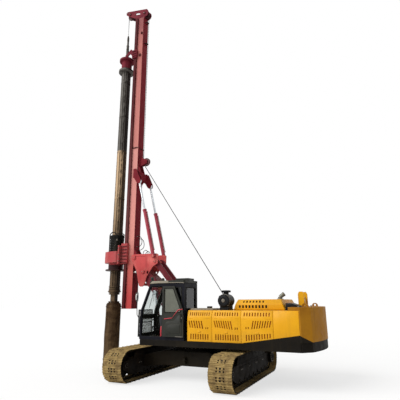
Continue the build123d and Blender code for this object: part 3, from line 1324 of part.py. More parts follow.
def crown():
    """Return the crown: two plates on a pedestal, with the sheave pins."""
    toe = MAST_FRONT + RUN_GAP
    heel = MAST_BACK - RUN_GAP
    foot = [(toe, MAST_TOP + CROWN_TOE_RISE), (toe, MAST_TOP), (heel, MAST_TOP),
            (heel, MAST_TOP + CROWN_HEEL_RISE)]
    plate = [*around(CROWN_PLATE), *foot]
    window = around(CROWN_WINDOW)

    def sheet(side):
        flat = prism_y(plate, side * CROWN_IN, side * CROWN_OUT)
        return flat - prism_y(window, side * (CROWN_IN - RUN_GAP), side * (CROWN_OUT + RUN_GAP),
                              CROWN_WINDOW_CORNER)
    frame = both(sheet) + block(MAST_BACK, MAST_FRONT, -CROWN_OUT, CROWN_OUT, MAST_TOP, MAST_TOP + CROWN_FOOT)
    end = CROWN_OUT + CROWN_PIN_END
    for at in (CROWN_FRONT_SHEAVE, CROWN_REAR_SHEAVE):
        frame += rod_y(at, SHEAVE_BORE - PIN_PLAY, -end, end)
    x, z = CROWN_FRONT_SHEAVE
    return frame + block(x - SPREADER_REAR, x - SPREADER_FRONT, -CROWN_IN - BITE, CROWN_IN + BITE,
                         z - SPREADER_LOW,
                         z - SPREADER_HIGH)


def sheave(at, radius, bore):
    """Return one grooved rope sheave."""
    disc = rod_y(at, radius, -SHEAVE_HALF, SHEAVE_HALF)
    groove = rod_y(at, radius + BITE, -GROOVE_HALF, GROOVE_HALF)
    groove -= rod_y(at, radius - GROOVE_DEPTH, -SHEAVE_HALF, SHEAVE_HALF)
    return disc - groove - rod_y(at, bore, -SHEAVE_HALF - BITE, SHEAVE_HALF + BITE)


def carriage(z0, z1, depth):
    """Return a sliding carriage that claws the guide rails."""
    hook = MAST_FRONT - CARRIAGE_HOOK
    body = block(RAIL_FRONT + PIN_PLAY, RAIL_FRONT + depth, -CARRIAGE_HALF, CARRIAGE_HALF, z0, z1)
    for side in (1, -1):
        far = side * CARRIAGE_HALF
        body += block(hook, RAIL_FRONT + RUN_GAP, side * (RAIL_OUT + PIN_PLAY), far, z0, z1)
        body += block(hook, MAST_FRONT - PIN_PLAY, side * (MAST_HALF + CARRIAGE_PLAY), far, z0, z1)
    return body


def rotary_head():
    """Return the rotary drive: carriage, flange, gearbox, drive sleeve and release plate."""
    head = carriage(HEAD_BOTTOM - HEAD_CARRIAGE_DROP, HEAD_TOP + HEAD_CARRIAGE_RISE, HEAD_PLATE)
    face = RAIL_FRONT + HEAD_PLATE
    head += block(face - RUN_GAP, face + HEAD_FLANGE, -HEAD_FLANGE_HALF, HEAD_FLANGE_HALF,
                  HEAD_BOTTOM - HEAD_FLANGE_DROP,
                  HEAD_TOP + HEAD_FLANGE_RISE)
    case = [(KELLY_X + ahead, half) for ahead, half in HEAD_CASE]
    case += [(x, -y) for x, y in reversed(case)]
    head += prism_z(case, HEAD_BOTTOM, HEAD_TOP)
    head += rod_z(KELLY_X, 0, SLEEVE_RADIUS, HEAD_BOTTOM - SLEEVE_DROP, HEAD_BOTTOM + BITE)
    plate = HEAD_BOTTOM - RELEASE_DROP
    head += rod_z(KELLY_X, 0, RELEASE_RADIUS, plate, plate + RELEASE_THICK)
    return head - rod_z(KELLY_X, 0, KELLY_RIB + KELLY_RUN_GAP, plate - RUN_GAP, HEAD_TOP + RUN_GAP)


def head_motors():
    """Return the two planetary drive motors standing on the gearbox."""
    x = KELLY_X - HEAD_MOTOR_SETBACK
    pieces = []
    for side in (1, -1):
        gear = rod_z(x, side * HEAD_MOTOR_Y, GEAR_RADIUS, HEAD_TOP, HEAD_TOP + GEAR_HEIGHT)
        pieces.append(gear + rod_z(x, side * HEAD_MOTOR_Y, HEAD_MOTOR_RADIUS, HEAD_TOP + GEAR_HEIGHT,
                                   HEAD_TOP + HEAD_MOTOR_HEIGHT))
    return pieces


def damper():
    """Return the kelly buffer above the gearbox."""
    body = rod_z(KELLY_X, 0, DAMPER_FOOT, HEAD_TOP, HEAD_TOP + DAMPER_FOOT_HEIGHT)
    body += rod_z(KELLY_X, 0, DAMPER_RADIUS, HEAD_TOP + DAMPER_FOOT_HEIGHT, HEAD_TOP + DAMPER_BODY_HEIGHT)
    body += rod_z(KELLY_X, 0, DAMPER_CAP, HEAD_TOP + DAMPER_BODY_HEIGHT, HEAD_TOP + DAMPER_HEIGHT)
    return body - rod_z(KELLY_X, 0, KELLY_RIB + KELLY_RUN_GAP, HEAD_TOP - RUN_GAP,
                        HEAD_TOP + DAMPER_HEIGHT + RUN_GAP)


def crowd_rod():
    """Return the feed cylinder's rod, pinned to the drive's carriage."""
    clevis = block(CROWD_X - CLEVIS_DEPTH, RAIL_FRONT + PIN_PLAY, -CLEVIS_HALF, CLEVIS_HALF,
                   HEAD_TOP + CLEVIS_LOW,
                   HEAD_TOP + CLEVIS_HIGH)
    return clevis + rod_z(CROWD_X, 0, CROWD_ROD_RADIUS, HEAD_TOP + CLEVIS_HIGH - BITE, CROWD_ROD_TOP)


def kelly_guide():
    """Return the flanged sleeve that guides the kelly bar's head, with its arms and carriage."""
    guide = carriage(GUIDE_TOP - GUIDE_CARRIAGE_DROP, GUIDE_TOP + GUIDE_CARRIAGE_RISE, GUIDE_PLATE)
    guide += rod_z(KELLY_X, 0, GUIDE_SLEEVE, GUIDE_BOTTOM, GUIDE_TOP)
    guide += rod_z(KELLY_X, 0, GUIDE_RING, GUIDE_TOP - GUIDE_RING_DEPTH, GUIDE_TOP)
    arm = around(GUIDE_ARM)
    guide += both(lambda side: prism_y(arm, side * GUIDE_ARM_IN, side * GUIDE_ARM_OUT))
    return guide - rod_z(KELLY_X, 0, KELLY_RADIUS + PIN_PLAY, GUIDE_BOTTOM - RUN_GAP, GUIDE_TOP + RUN_GAP)


def kelly_bar():
    """Return the ribbed outer kelly bar with its head flange and lower collars."""
    bar = rod_z(KELLY_X, 0, KELLY_RADIUS, KELLY_BOTTOM, GUIDE_TOP)
    for index in range(KELLY_RIBS):
        rib = block(KELLY_RADIUS - KELLY_RIB_ROOT, KELLY_RIB, -KELLY_RIB_HALF, KELLY_RIB_HALF, KELLY_BOTTOM,
                    KELLY_TOP)
        bar += Pos(KELLY_X, 0, 0) * Rot(0, 0, 360 / KELLY_RIBS * (index + 0.5)) * rib
    bar += rod_z(KELLY_X, 0, KELLY_FLANGE, KELLY_TOP - KELLY_FLANGE_DEPTH, KELLY_TOP)
    bar += rod_z(KELLY_X, 0, KELLY_COLLAR, KELLY_BOTTOM - KELLY_COLLAR_DEPTH, KELLY_BOTTOM)
    return bar - rod_z(KELLY_X, 0, KELLY_BORE, KELLY_BOTTOM - KELLY_COLLAR_DEPTH - RUN_GAP,
                       GUIDE_TOP + RUN_GAP)


def kelly_core():
    """Return the inner kelly bar, from the tool's stub to the swivel eye."""
    collar = KELLY_BOTTOM - KELLY_COLLAR_DEPTH
    top = GUIDE_TOP + CORE_RISE
    core = rod_z(KELLY_X, 0, CORE_RADIUS, collar - RUN_GAP, top)
    core += block(KELLY_X - CORE_STUB_HALF, KELLY_X + CORE_STUB_HALF, -CORE_STUB_HALF, CORE_STUB_HALF,
                  TOOL_TOP + RUN_GAP,
                  collar)
    core += rod_z(KELLY_X, 0, CORE_COLLAR, collar - CORE_COLLAR_DEPTH, collar)
    return core + rod_z(KELLY_X, 0, CORE_EYE, top - RUN_GAP, GUIDE_TOP + SWIVEL_LOW)


def swivel():
    """Return the rope swivel above the inner bar."""
    low = GUIDE_TOP + SWIVEL_LOW
    high = GUIDE_TOP + SWIVEL_HIGH
    body = rod_z(KELLY_X, 0, SWIVEL_RADIUS, low, high)
    body += rod_z(KELLY_X, 0, SWIVEL_BULGE, low + SWIVEL_BULGE_LOW, low + SWIVEL_BULGE_HIGH)
    return body + rod_z(KELLY_X, 0, SOCKET_RADIUS, high, high + SOCKET_HEIGHT)


def drill_tool():
    """Return the drilling bucket with its box head and bottom teeth."""
    skirt = TOOL_BOTTOM + TOOL_SKIRT
    shoulder = TOOL_TOP - TOOL_SHOULDER
    tool = rod_z(KELLY_X, 0, TOOL_RADIUS, skirt, shoulder)
    tool += rod_z(KELLY_X, 0, TOOL_RADIUS - TOOL_NECK, shoulder, shoulder + 2 * TOOL_NECK)
    tool += block(KELLY_X - TOOL_BOX_HALF, KELLY_X + TOOL_BOX_HALF, -TOOL_BOX_HALF, TOOL_BOX_HALF,
                  shoulder + 2 * TOOL_NECK,
                  TOOL_TOP + RUN_GAP)
    root = TOOL_BOTTOM + TOOTH_LENGTH
    inner = TOOL_RADIUS - TOOTH_ROOT
    tooth = [(inner, root), (TOOL_RADIUS, root), (TOOL_RADIUS, root - TOOTH_FRONT),
             (TOOL_RADIUS - TOOTH_TIP_OUT, TOOL_BOTTOM), (TOOL_RADIUS - TOOTH_TIP_IN, TOOL_BOTTOM),
             (inner, root - TOOTH_BACK)]
    for index in range(TOOL_TEETH):
        blade = prism_y(tooth, -TOOTH_HALF, TOOTH_HALF)
        tool += Pos(KELLY_X, 0, 0) * Rot(0, 0, 360 / TOOL_TEETH * index) * blade
    return tool


def air_cleaner():
    """Return the intake canister on its side with its neck and rain cap."""
    at = (BAY_REAR + AIR_SETBACK, PANEL_TOP + AIR_RISE)
    far = COVER_HALF - AIR_INSET
    near = far - AIR_LENGTH
    body = rod_y(at, AIR_RADIUS, near, far)
    body += block(at[0] - AIR_FOOT_HALF, at[0] + AIR_FOOT_HALF, near + AIR_FOOT_INSET, far - AIR_FOOT_INSET,
                  PANEL_TOP,
                  at[1] - AIR_RADIUS / 2)
    middle = (near + far) / 2
    body += rod_z(at[0], middle, NECK_RADIUS, at[1] + AIR_RADIUS / 2, at[1] + NECK_TOP)
    return body + rod_z(at[0], middle, CAP_RADIUS, at[1] + NECK_TOP, at[1] + NECK_TOP + CAP_HEIGHT)


def exhaust():
    """Return the exhaust stub with its bent outlet."""
    x = HOOD_REAR + HOOD_REAR_SLOPE + EXHAUST_SETBACK
    y = HOOD_HALF - EXHAUST_INSET
    bend = HOOD_TOP + EXHAUST_RISE
    pipe = rod_z(x, y, EXHAUST_RADIUS, HOOD_TOP, bend)
    pipe += rod((x, y, bend - RUN_GAP), (x - EXHAUST_OUT, y, bend - RUN_GAP + EXHAUST_UP), EXHAUST_RADIUS)
    return pipe + rod_z(x, y, EXHAUST_COLLAR, HOOD_TOP, HOOD_TOP + EXHAUST_COLLAR_HEIGHT)


def fuel_tank():
    """Return the front right tank with its step box."""
    far = -HALF_WIDTH + TANK_INSET
    tank = [(FUEL_REAR, DECK_TOP), (FUEL_REAR, FUEL_TOP), (FUEL_FRONT - FUEL_CHAMFER_X, FUEL_TOP),
            (FUEL_FRONT, FUEL_TOP - FUEL_CHAMFER_Z), (FUEL_FRONT, DECK_TOP)]
    step = [(FUEL_FRONT - RUN_GAP, DECK_TOP), (FUEL_FRONT - RUN_GAP, STEP_TOP),
            (STEP_FRONT - STEP_CHAMFER, STEP_TOP - STEP_FALL), (STEP_FRONT, STEP_TOP - 2 * STEP_FALL),
            (STEP_FRONT, DECK_TOP)]
    return prism_y(tank, far, -TANK_IN, FUEL_CORNER) + prism_y(step, far, -TANK_IN)


def hydraulic_tank():
    """Return the hydraulic oil tank between the fuel tank and the right bay."""
    side = [(OIL_REAR, DECK_TOP), (OIL_REAR, OIL_TOP), (OIL_FRONT, OIL_TOP), (OIL_FRONT, DECK_TOP)]
    tank = prism_y(side, -HALF_WIDTH + TANK_INSET, -TANK_IN, OIL_CORNER)
    return tank + rod_z(BREATHER_X, BREATHER_Y, BREATHER_RADIUS, OIL_TOP - BITE, OIL_TOP + BREATHER_HEIGHT)


def engine_block():
    """Return the engine as one plain block under the hood."""
    return block(ENGINE_REAR, ENGINE_FRONT, -ENGINE_HALF, ENGINE_HALF, DECK_TOP, ENGINE_TOP)


def cab_floor():
    """Return the cab's floor slab."""
    return block(CAB_REAR, CAB_FRONT, CAB_RIGHT + CAB_WALL, CAB_LEFT - CAB_WALL, DECK_TOP, CAB_FLOOR_TOP)


save("car_body", car_body())
save("track_frames", track_frame(1), track_frame(-1))
save("track_loop_front", track_loop(1))
save("track_loop_rear", track_loop(-1))
save("track_rollers", *rollers())
save("track_wheels", *idlers(), sprocket(1), sprocket(-1), final_drive(1), final_drive(-1))

save("main_frame", main_frame())
save("boom_foot", *boom_foot())
save("left_panels", *side_panels(1))
save("right_panels", *side_panels(-1))
save("bay_frame", bay_frame())
save("bay_covers", bay_covers())
save("engine_hood", hood())
save("engine_block", engine_block())
save("counterweight", counterweight())
save("counterweight_base", counterweight_base())
save("mast_rest", mast_rest())
save("air_cleaner", air_cleaner())
save("exhaust", exhaust())
save("fuel_tank", fuel_tank())
save("hydraulic_tank", hydraulic_tank())
save("winch_frame", winch_frame())
save("winch_drum", winch_drum())

save("cab_floor", cab_floor())
save("cab_left_wall", cab_left_wall())
save("cab_right_wall", cab_right_wall())
save("cab_front", cab_front())
save("cab_rear", cab_rear())
save("cab_roof", cab_roof())
save("cab_glass", *cab_glass())
save("cab_guard", cab_guard())
save("cab_seat", seat())
save("cab_consoles", *consoles())
save("cab_mirror", mirror())
save("cab_door", cab_door())
save("cab_door_glass", door_glass())

save("boom", boom())
save("boom_links", *boom_links())
LUFF = (LUFF_BASE, LUFF_EYE, LUFF_Y)
TILT = (TILT_BASE, TILT_EYE, TILT_Y)
save("luff_barrels", *barrels(*LUFF, LUFF_BARREL_RADIUS, LUFF_ROD_RADIUS + PIN_PLAY, LUFF_BARREL, LUFF_PIN))
save("luff_rods", *rods(*LUFF, LUFF_ROD_RADIUS, LUFF_ROD_START, LUFF_ROD_EYE, EAR_NEAR - BITE))
save("mast_cradle", cradle())
save("tilt_barrels", *barrels(*TILT, TILT_BARREL_RADIUS, TILT_ROD_RADIUS + PIN_PLAY, TILT_BARREL, TILT_PIN))
save("tilt_rods", *rods(*TILT, TILT_ROD_RADIUS, TILT_ROD_START, TILT_ROD_EYE, EAR_NEAR - BITE))
save("mast_lower", mast_lower())
save("mast_upper", mast_tube(MAST_SPLICE, MAST_TOP))
save("mast_rails", *mast_rails())
save("crowd_barrel", crowd_barrel())
save("crown", crown())
save("crown_sheave_front", sheave(CROWN_FRONT_SHEAVE, SHEAVE_RADIUS, SHEAVE_BORE))
save("crown_sheave_rear", sheave(CROWN_REAR_SHEAVE, SHEAVE_RADIUS, SHEAVE_BORE))
save("back_sheave", sheave(BACK_SHEAVE, BACK_SHEAVE_RADIUS, BACK_SHEAVE_BORE))

save("rotary_head", rotary_head())
save("head_motors", *head_motors())
save("head_damper", damper())
save("crowd_rod", crowd_rod())
save("kelly_guide", kelly_guide())
save("rope_swivel", swivel())
save("kelly_bar", kelly_bar())
save("kelly_core", kelly_core())
save("drill_tool", drill_tool())
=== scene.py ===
"""Dress for a crawler rotary drilling rig: finishes, sheet metal, trim, rope and hoses.

Everything is in metres in the frame of the solid model: +X is the upper structure's front,
+Y its left (cab) side, +Z is up, and the origin lies on the ground under the slewing axis.
"""

import logging
import math
from collections.abc import Iterator, Sequence
from dataclasses import dataclass
from enum import Enum
from random import Random

import bmesh
import bpy
from mathutils import Matrix, Vector

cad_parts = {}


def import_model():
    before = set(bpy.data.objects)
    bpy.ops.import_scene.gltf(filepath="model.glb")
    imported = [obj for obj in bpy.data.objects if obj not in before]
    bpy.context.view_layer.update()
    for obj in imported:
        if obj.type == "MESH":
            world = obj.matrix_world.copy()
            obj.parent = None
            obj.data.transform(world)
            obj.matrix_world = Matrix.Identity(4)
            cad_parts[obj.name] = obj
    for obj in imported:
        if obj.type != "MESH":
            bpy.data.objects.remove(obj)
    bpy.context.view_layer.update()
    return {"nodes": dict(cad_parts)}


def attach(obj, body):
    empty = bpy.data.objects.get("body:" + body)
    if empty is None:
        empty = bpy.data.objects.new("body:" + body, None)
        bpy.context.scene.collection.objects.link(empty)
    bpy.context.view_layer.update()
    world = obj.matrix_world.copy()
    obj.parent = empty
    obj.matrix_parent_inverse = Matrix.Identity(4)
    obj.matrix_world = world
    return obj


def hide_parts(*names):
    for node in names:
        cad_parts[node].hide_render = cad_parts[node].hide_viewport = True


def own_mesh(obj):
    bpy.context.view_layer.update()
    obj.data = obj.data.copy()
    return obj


LOG = logging.getLogger("drilling_rig")

Point = tuple[float, float, float]
Flat = tuple[float, float]
Quad = tuple[Flat, Flat, Flat, Flat]
Socket = bpy.types.NodeSocket
Value = Socket | float | tuple[float, ...]

FULL_TURN = 2 * math.pi
SHARP_ANGLE = math.radians(32)
BEVEL_ANGLE = math.radians(25)
RIM_ANGLE = math.radians(60)
CUT_SLACK = 1e-6
SIDES = (1, -1)
UP = Vector((0, 0, 1)).freeze()
KELLY_X = 3.65


class Finish(Enum):
    """The finishes on the machine."""

    YELLOW = "machine_yellow_paint"
    WEIGHT = "counterweight_paint"
    RED = "plate_red_paint"
    HEAD = "head_red_over_black_paint"
    CROWN = "crown_dark_red_paint"
    MAST = "mast_faded_red_paint"
    MAROON = "rail_maroon_paint"
    LINK = "link_dark_red_paint"
    BARREL = "barrel_red_paint"
    BLACK = "frame_black_paint"
    CAB = "cab_olive_black_paint"
    CAB_REAR = "cab_blue_black_paint"
    ROOF = "roof_dusty_grey"
    MUD = "shoe_dried_mud"
    TRACK = "worn_track_steel"
    KELLY = "kelly_muddy_steel"
    TOOL = "bucket_rust"
    CHROME = "rod_chrome"
    RUBBER = "black_rubber"
    CANISTER = "canister_black"
    SCREEN = "louvre_screen"
    GLASS = "clear_window_glass"
    DOOR_GLASS = "dusty_door_glass"
    FABRIC = "seat_weave"
    PLASTIC = "console_plastic"
    PALE = "mirror_shell_white"
    PIPE = "heat_stained_pipe"
    STEEL = "plain_bolt_steel"
    ROPE = "greased_wire_rope"
    SHEAVE = "sheave_worn_paint"
    TRIM_RED = "door_trim_red"
    LENS = "lamp_lens"
    ENGINE = "cast_engine_grey"


class Axis(Enum):
    """The axis that an outline is carried along, with the order of its two flat coordinates."""

    X = (1, 2, 0)
    Y = (0, 2, 1)
    Z = (0, 1, 2)

    def point(self, first: float, second: float, along: float) -> Vector:
        """Returns the point with those flat coordinates at that place along the axis."""
        spot = Vector((0.0, 0.0, 0.0))
        for index, value in zip(self.value, (first, second, along)):
            spot[index] = value
        return spot

    def turn(self) -> Matrix:
        """Returns the turn that brings +Z onto the axis."""
        return turned(self.point(0.0, 0.0, 1.0))


def linear(code: str) -> tuple[float, float, float, float]:
    """Returns the linear colour of a hex code such as ``#efb012``."""
    levels = [int(code[index:index + 2], 16) / 255 for index in (1, 3, 5)]
    shades = [c / 12.92 if c <= 0.04045 else ((c + 0.055) / 1.055) ** 2.4 for c in levels]
    return (*shades, 1.0)


def turned(direction: Vector) -> Matrix:
    """Returns the turn that brings +Z onto a direction."""
    return direction.to_track_quat("Z", "Y").to_matrix().to_4x4()


def outwards(side: int) -> Vector:
    """Returns the way out of the machine's left (1) or right (-1) side."""
    return Vector((0, side, 0))


def oval(centre: Flat, across: float, up: float, steps: int) -> list[Flat]:
    """Returns points round an oval with that half width and half height."""
    angles = [FULL_TURN * step / steps for step in range(steps)]
    return [(centre[0] + across * math.cos(angle), centre[1] + up * math.sin(angle)) for angle in angles]


class Graph:
    """A material's node tree, with short ways to add and join nodes."""

    def __init__(self, name: str) -> None:
        """Starts a material with one principled shader.

        Args:
            name: The material's name.
        """
        self.material = bpy.data.materials.new(name)
        self.material.use_nodes = True
        self.tree = self.material.node_tree
        self.tree.nodes.clear()
        self.shader = self.node("ShaderNodeBsdfPrincipled")
        output = self.node("ShaderNodeOutputMaterial")
        self.tree.links.new(self.shader.outputs["BSDF"], output.inputs["Surface"])
        self.coords = self.node("ShaderNodeTexCoord")

    def node(self, kind: str, **settings: object) -> bpy.types.Node:
        """Adds a node.

        Args:
            kind: Blender's name for the node's type.
            settings: Properties to set on it.

        Returns:
            The new node.
        """
        made = self.tree.nodes.new(kind)
        for key, setting in settings.items():
            setattr(made, key, setting)
        return made

    def feed(self, socket: Socket, value: Value) -> None:
        """Links a socket to another, or sets its plain value."""
        if isinstance(value, bpy.types.NodeSocket):
            self.tree.links.new(value, socket)
        else:
            socket.default_value = value

    def noise(self, scale: float, detail: float = 5.0, stretch: Point = (1, 1, 1)) -> Socket:
        """Adds a noise over the object's own coordinates.

        Args:
            scale: Patches per metre.
            detail: Octaves of finer noise.
            stretch: Scale along each axis, below 1 to draw the pattern out.

        Returns:
            The noise's value, around 0.5.
        """
        mapping = self.node("ShaderNodeMapping")
        self.tree.links.new(self.coords.outputs["Object"], mapping.inputs["Vector"])
        mapping.inputs["Scale"].default_value = stretch
        noise = self.node("ShaderNodeTexNoise")
        self.tree.links.new(mapping.outputs["Vector"], noise.inputs["Vector"])
        noise.inputs["Scale"].default_value = scale
        noise.inputs["Detail"].default_value = detail
        noise.inputs["Roughness"].default_value = 0.6
        return noise.outputs["Fac"]

    def span(self, value: Value, start: float, end: float, low: float = 0.0, high: float = 1.0) -> Socket:
        """Maps the stretch from start to end of a value onto low to high, and clamps it."""
        made = self.node("ShaderNodeMapRange", clamp=True)
        for name, number in (("Value", value), ("From Min", start), ("From Max", end),
                             ("To Min", low), ("To Max", high)):
            self.feed(made.inputs[name], number)
        return made.outputs["Result"]

    def reckon(self, operation: str, first: Value, second: Value) -> Socket:
        """Joins two numbers by one of Blender's math operations."""
        made = self.node("ShaderNodeMath", operation=operation)
        self.feed(made.inputs[0], first)
        self.feed(made.inputs[1], second)
        return made.outputs["Value"]

    def mix(self, share: Value, below: Value, above: Value) -> Socket:
        """Lays one colour over another by a share."""
        made = self.node("ShaderNodeMix", data_type="RGBA")
        self.feed(made.inputs[0], share)
        self.feed(made.inputs[6], below)
        self.feed(made.inputs[7], above)
        return made.outputs[2]

    def part(self, vector: Socket, name: str) -> Socket:
        """Returns the X, Y or Z of a vector."""
        made = self.node("ShaderNodeSeparateXYZ")
        self.tree.links.new(vector, made.inputs[0])
        return made.outputs[name]

    def place(self, name: str) -> Socket:
        """Returns the X, Y or Z of the shaded spot."""
        return self.part(self.coords.outputs["Object"], name)

    def facing(self, name: str) -> Socket:
        """Returns the X, Y or Z of the way that the surface looks."""
        return self.part(self.coords.outputs["Normal"], name)

    def bump(self, height: Socket, strength: float, depth: float, normal: Socket | None = None) -> None:
        """Puts a bump on the shader.

        Args:
            height: The bump's height, from 0 to 1.
            strength: How strongly it shows.
            depth: Depth of the full height, in metres.
            normal: The normal that it starts from, if not the surface's own.
        """
        made = self.node("ShaderNodeBump")
        made.inputs["Strength"].default_value = strength
        made.inputs["Distance"].default_value = depth
        self.feed(made.inputs["Height"], height)
        if normal is not None:
            self.feed(made.inputs["Normal"], normal)
        self.feed(self.shader.inputs["Normal"], made.outputs["Normal"])

    def rounded(self, radius: float) -> tuple[Socket, Socket]:
        """Rounds the shading of edges.

        Args:
            radius: The radius of the rounding, in metres.

        Returns:
            The rounded normal, and a mask that is 1 on the edges.
        """
        bevel = self.node("ShaderNodeBevel", samples=4)
        bevel.inputs["Radius"].default_value = radius
        geometry = self.node("ShaderNodeNewGeometry")
        dot = self.node("ShaderNodeVectorMath", operation="DOT_PRODUCT")
        self.tree.links.new(bevel.outputs["Normal"], dot.inputs[0])
        self.tree.links.new(geometry.outputs["Normal"], dot.inputs[1])
        return bevel.outputs["Normal"], self.span(dot.outputs["Value"], 0.985, 0.8)


EDGE_RADIUS = 0.012
GRAIN_DEPTH = 0.01
RUN_STRETCH: Point = (2.4, 2.4, 0.16)
SKIRT_BLACK = "#1d1a14"


@dataclass(frozen=True)
class Band:
    """A tint between two heights, such as mud, painted light on the mast's lit flanks and painted shade on the kelly's
    side turned from the sun.

    Attributes:
        colour: The tint's hex code.
        low: Height where it starts, in metres over the ground.
        high: Height where it ends.
        soft: Depth over which it fades at either end.
        share: How strongly it covers.
        flanks_only: Whether it lies only on faces that look to the left or the right.
        ragged: How far a noise moves its ends, in metres.
        ahead_of: Place along the machine, in metres, that it lies ahead of.
        heading: Side that it lies on, as a heading in X and Y; the kelly's painted shade on its side turned from the
            sun uses it.
    """

    colour: str
    low: float
    high: float
    soft: float = 0.3
    share: float = 0.8
    flanks_only: bool = False
    ragged: float = 0.4
    ahead_of: float | None = None
    heading: Flat | None = None


@dataclass(frozen=True)
class Coat:
    """A weathered surface: tones that drift, grime runs, dust on level faces, worn edges and grain.

    Attributes:
        colour: The main tone's hex code.
        drift: The tone that it drifts to in patches.
        grime: The colour of runs and stains.
        rough: Roughness where the surface is cleanest and where it is dullest.
        metal: Metallic share.
        patch: Patches of drift per metre.
        patch_span: Noise levels between which the drift grows.
        runs: Share of grime in the runs.
        dust: Share of dust on level faces.
        dust_colour: The dust's hex code.
        edge: Share of bare metal on the edges.
        bare: The bare metal's hex code.
        grain: Bumps per metre.
        bump: Strength of the bump.
        bands: Tints between heights, among them painted light and painted shade.
        skirt: Two points in X and Z of the line under which black paint begins, if any.
        gloss: Strength of the reflection, 0.5 for clean paint and less for dull or dirty paint.
        ends: Colour of the faces that look ahead or astern, if they differ.
    """

    colour: str
    drift: str
    grime: str
    rough: Flat = (0.38, 0.6)
    metal: float = 0.0
    patch: float = 1.1
    patch_span: Flat = (0.45, 0.7)
    runs: float = 0.25
    dust: float = 0.25
    dust_colour: str = "#a3937a"
    edge: float = 0.25
    bare: str = "#6e655c"
    grain: float = 70.0
    bump: float = 0.12
    bands: tuple[Band, ...] = ()
    skirt: tuple[Flat, Flat] | None = None
    gloss: float = 0.35
    ends: str | None = None

    def make(self, name: str) -> bpy.types.Material:
        """Returns the finished material under that name."""
        graph = Graph(name)
        tone = graph.mix(graph.span(graph.noise(self.patch), *self.patch_span),
                         linear(self.colour), linear(self.drift))
        tone = self._banded(graph, tone)
        if self.ends:
            ahead = graph.reckon("ABSOLUTE", graph.facing("X"), 0.0)
            tone = graph.mix(graph.span(ahead, 0.5, 0.9), tone, linear(self.ends))
        runs = graph.span(graph.noise(3.4, 4.0, RUN_STRETCH), 0.52, 0.78, 0.0, self.runs)
        tone = graph.mix(runs, tone, linear(self.grime))
        speck = graph.noise(26.0, 3.0)
        tone = graph.mix(graph.span(speck, 0.6, 0.8, 0.0, 0.35), tone, linear(self.grime))
        level = graph.span(graph.facing("Z"), 0.55, 0.95, 0.0, self.dust)
        patchy = graph.span(graph.noise(2.6), 0.3, 0.65)
        tone = graph.mix(graph.reckon("MULTIPLY", level, patchy), tone, linear(self.dust_colour))
        normal, edges = graph.rounded(EDGE_RADIUS)
        worn = graph.reckon("MULTIPLY", edges, graph.span(graph.noise(9.0), 0.45, 0.62, 0.0, self.edge))
        tone = graph.mix(worn, tone, linear(self.bare))
        if self.skirt:
            tone = self._skirted(graph, tone)
        graph.feed(graph.shader.inputs["Base Color"], tone)
        graph.feed(graph.shader.inputs["Roughness"], graph.span(graph.noise(5.0), 0.3, 0.7, *self.rough))
        graph.shader.inputs["Metallic"].default_value = self.metal
        graph.shader.inputs["Specular IOR Level"].default_value = self.gloss
        graph.bump(graph.noise(self.grain, 6.0), self.bump, GRAIN_DEPTH, normal)
        return graph.material

    def _banded(self, graph: Graph, tone: Socket) -> Socket:
        """Lays the bands over a tone, and returns the new tone."""
        height = graph.place("Z")
        for band in self.bands:
            shift = graph.span(graph.noise(1.7, 4.0), 0.2, 0.8, -band.ragged, band.ragged)
            place = graph.reckon("ADD", height, shift)
            rise = graph.span(place, band.low - band.soft, band.low + band.soft, 0.0, band.share)
            fall = graph.span(place, band.high - band.soft, band.high + band.soft, 1.0, 0.0)
            share = graph.reckon("MULTIPLY", rise, fall)
            # Flank-only bands lay the mast's painted light on its sides.
            if band.flanks_only:
                across = graph.facing("Y")
                flank = graph.span(graph.reckon("ABSOLUTE", across, 0.0), 0.5, 0.9)
                share = graph.reckon("MULTIPLY", share, flank)
            if band.ahead_of is not None:
                along = graph.place("X")
                share = graph.reckon("MULTIPLY", share, graph.reckon("GREATER_THAN", along, band.ahead_of))
            # A heading band lays painted shade on the side turned from the sun.
            if band.heading:
                facing = graph.node("ShaderNodeVectorMath", operation="DOT_PRODUCT")
                graph.feed(facing.inputs[0], graph.coords.outputs["Normal"])
                graph.feed(facing.inputs[1], (*band.heading, 0.0))
                wander = graph.span(graph.noise(5.0, 4.0), 0.3, 0.7, -0.25, 0.25)
                side = graph.span(graph.reckon("ADD", facing.outputs["Value"], wander), -0.1, 0.3)
                share = graph.reckon("MULTIPLY", share, side)
            tone = graph.mix(share, tone, linear(band.colour))
        return tone

    def _skirted(self, graph: Graph, tone: Socket) -> Socket:
        """Paints black under the skirt line, and returns the new tone."""
        (x0, z0), (x1, z1) = self.skirt
        slope = (z1 - z0) / (x1 - x0)
        line = graph.reckon("ADD", graph.reckon("MULTIPLY", graph.place("X"), slope), z0 - slope * x0)
        line = graph.reckon("MAXIMUM", line, z1)
        over = graph.reckon("SUBTRACT", graph.place("Z"), line)
        return graph.mix(graph.span(over, -0.002, 0.002, 1.0, 0.0), tone, linear(SKIRT_BLACK))


@dataclass(frozen=True)
class Pane:
    """Window glass with a film of dust.

    Attributes:
        tint: The glass's hex code.
        film: The dust's hex code.
        clear: Share of light that passes.
        dust: Share of dust where it lies thickest.
        dark: The darker tint of the panes behind the front post, if any.
        post: Place of the front post along the machine, in metres.
    """

    tint: str = "#dfe7e6"
    film: str = "#a9a796"
    clear: float = 0.97
    dust: float = 0.2
    dark: str | None = None
    post: float = 0.6

    def make(self, name: str) -> bpy.types.Material:
        """Returns the finished material under that name."""
        graph = Graph(name)
        dusty = graph.span(graph.noise(4.0), 0.45, 0.75, 0.0, self.dust)
        tone = graph.mix(dusty, linear(self.tint), linear(self.film))
        if self.dark:
            along = graph.place("X")
            tone = graph.mix(graph.reckon("LESS_THAN", along, self.post), tone, linear(self.dark))
        graph.feed(graph.shader.inputs["Base Color"], tone)
        graph.feed(graph.shader.inputs["Roughness"], graph.span(graph.noise(11.0), 0.4, 0.8, 0.02, 0.22))
        graph.shader.inputs["Transmission Weight"].default_value = self.clear
        graph.shader.inputs["IOR"].default_value = 1.45
        return graph.material


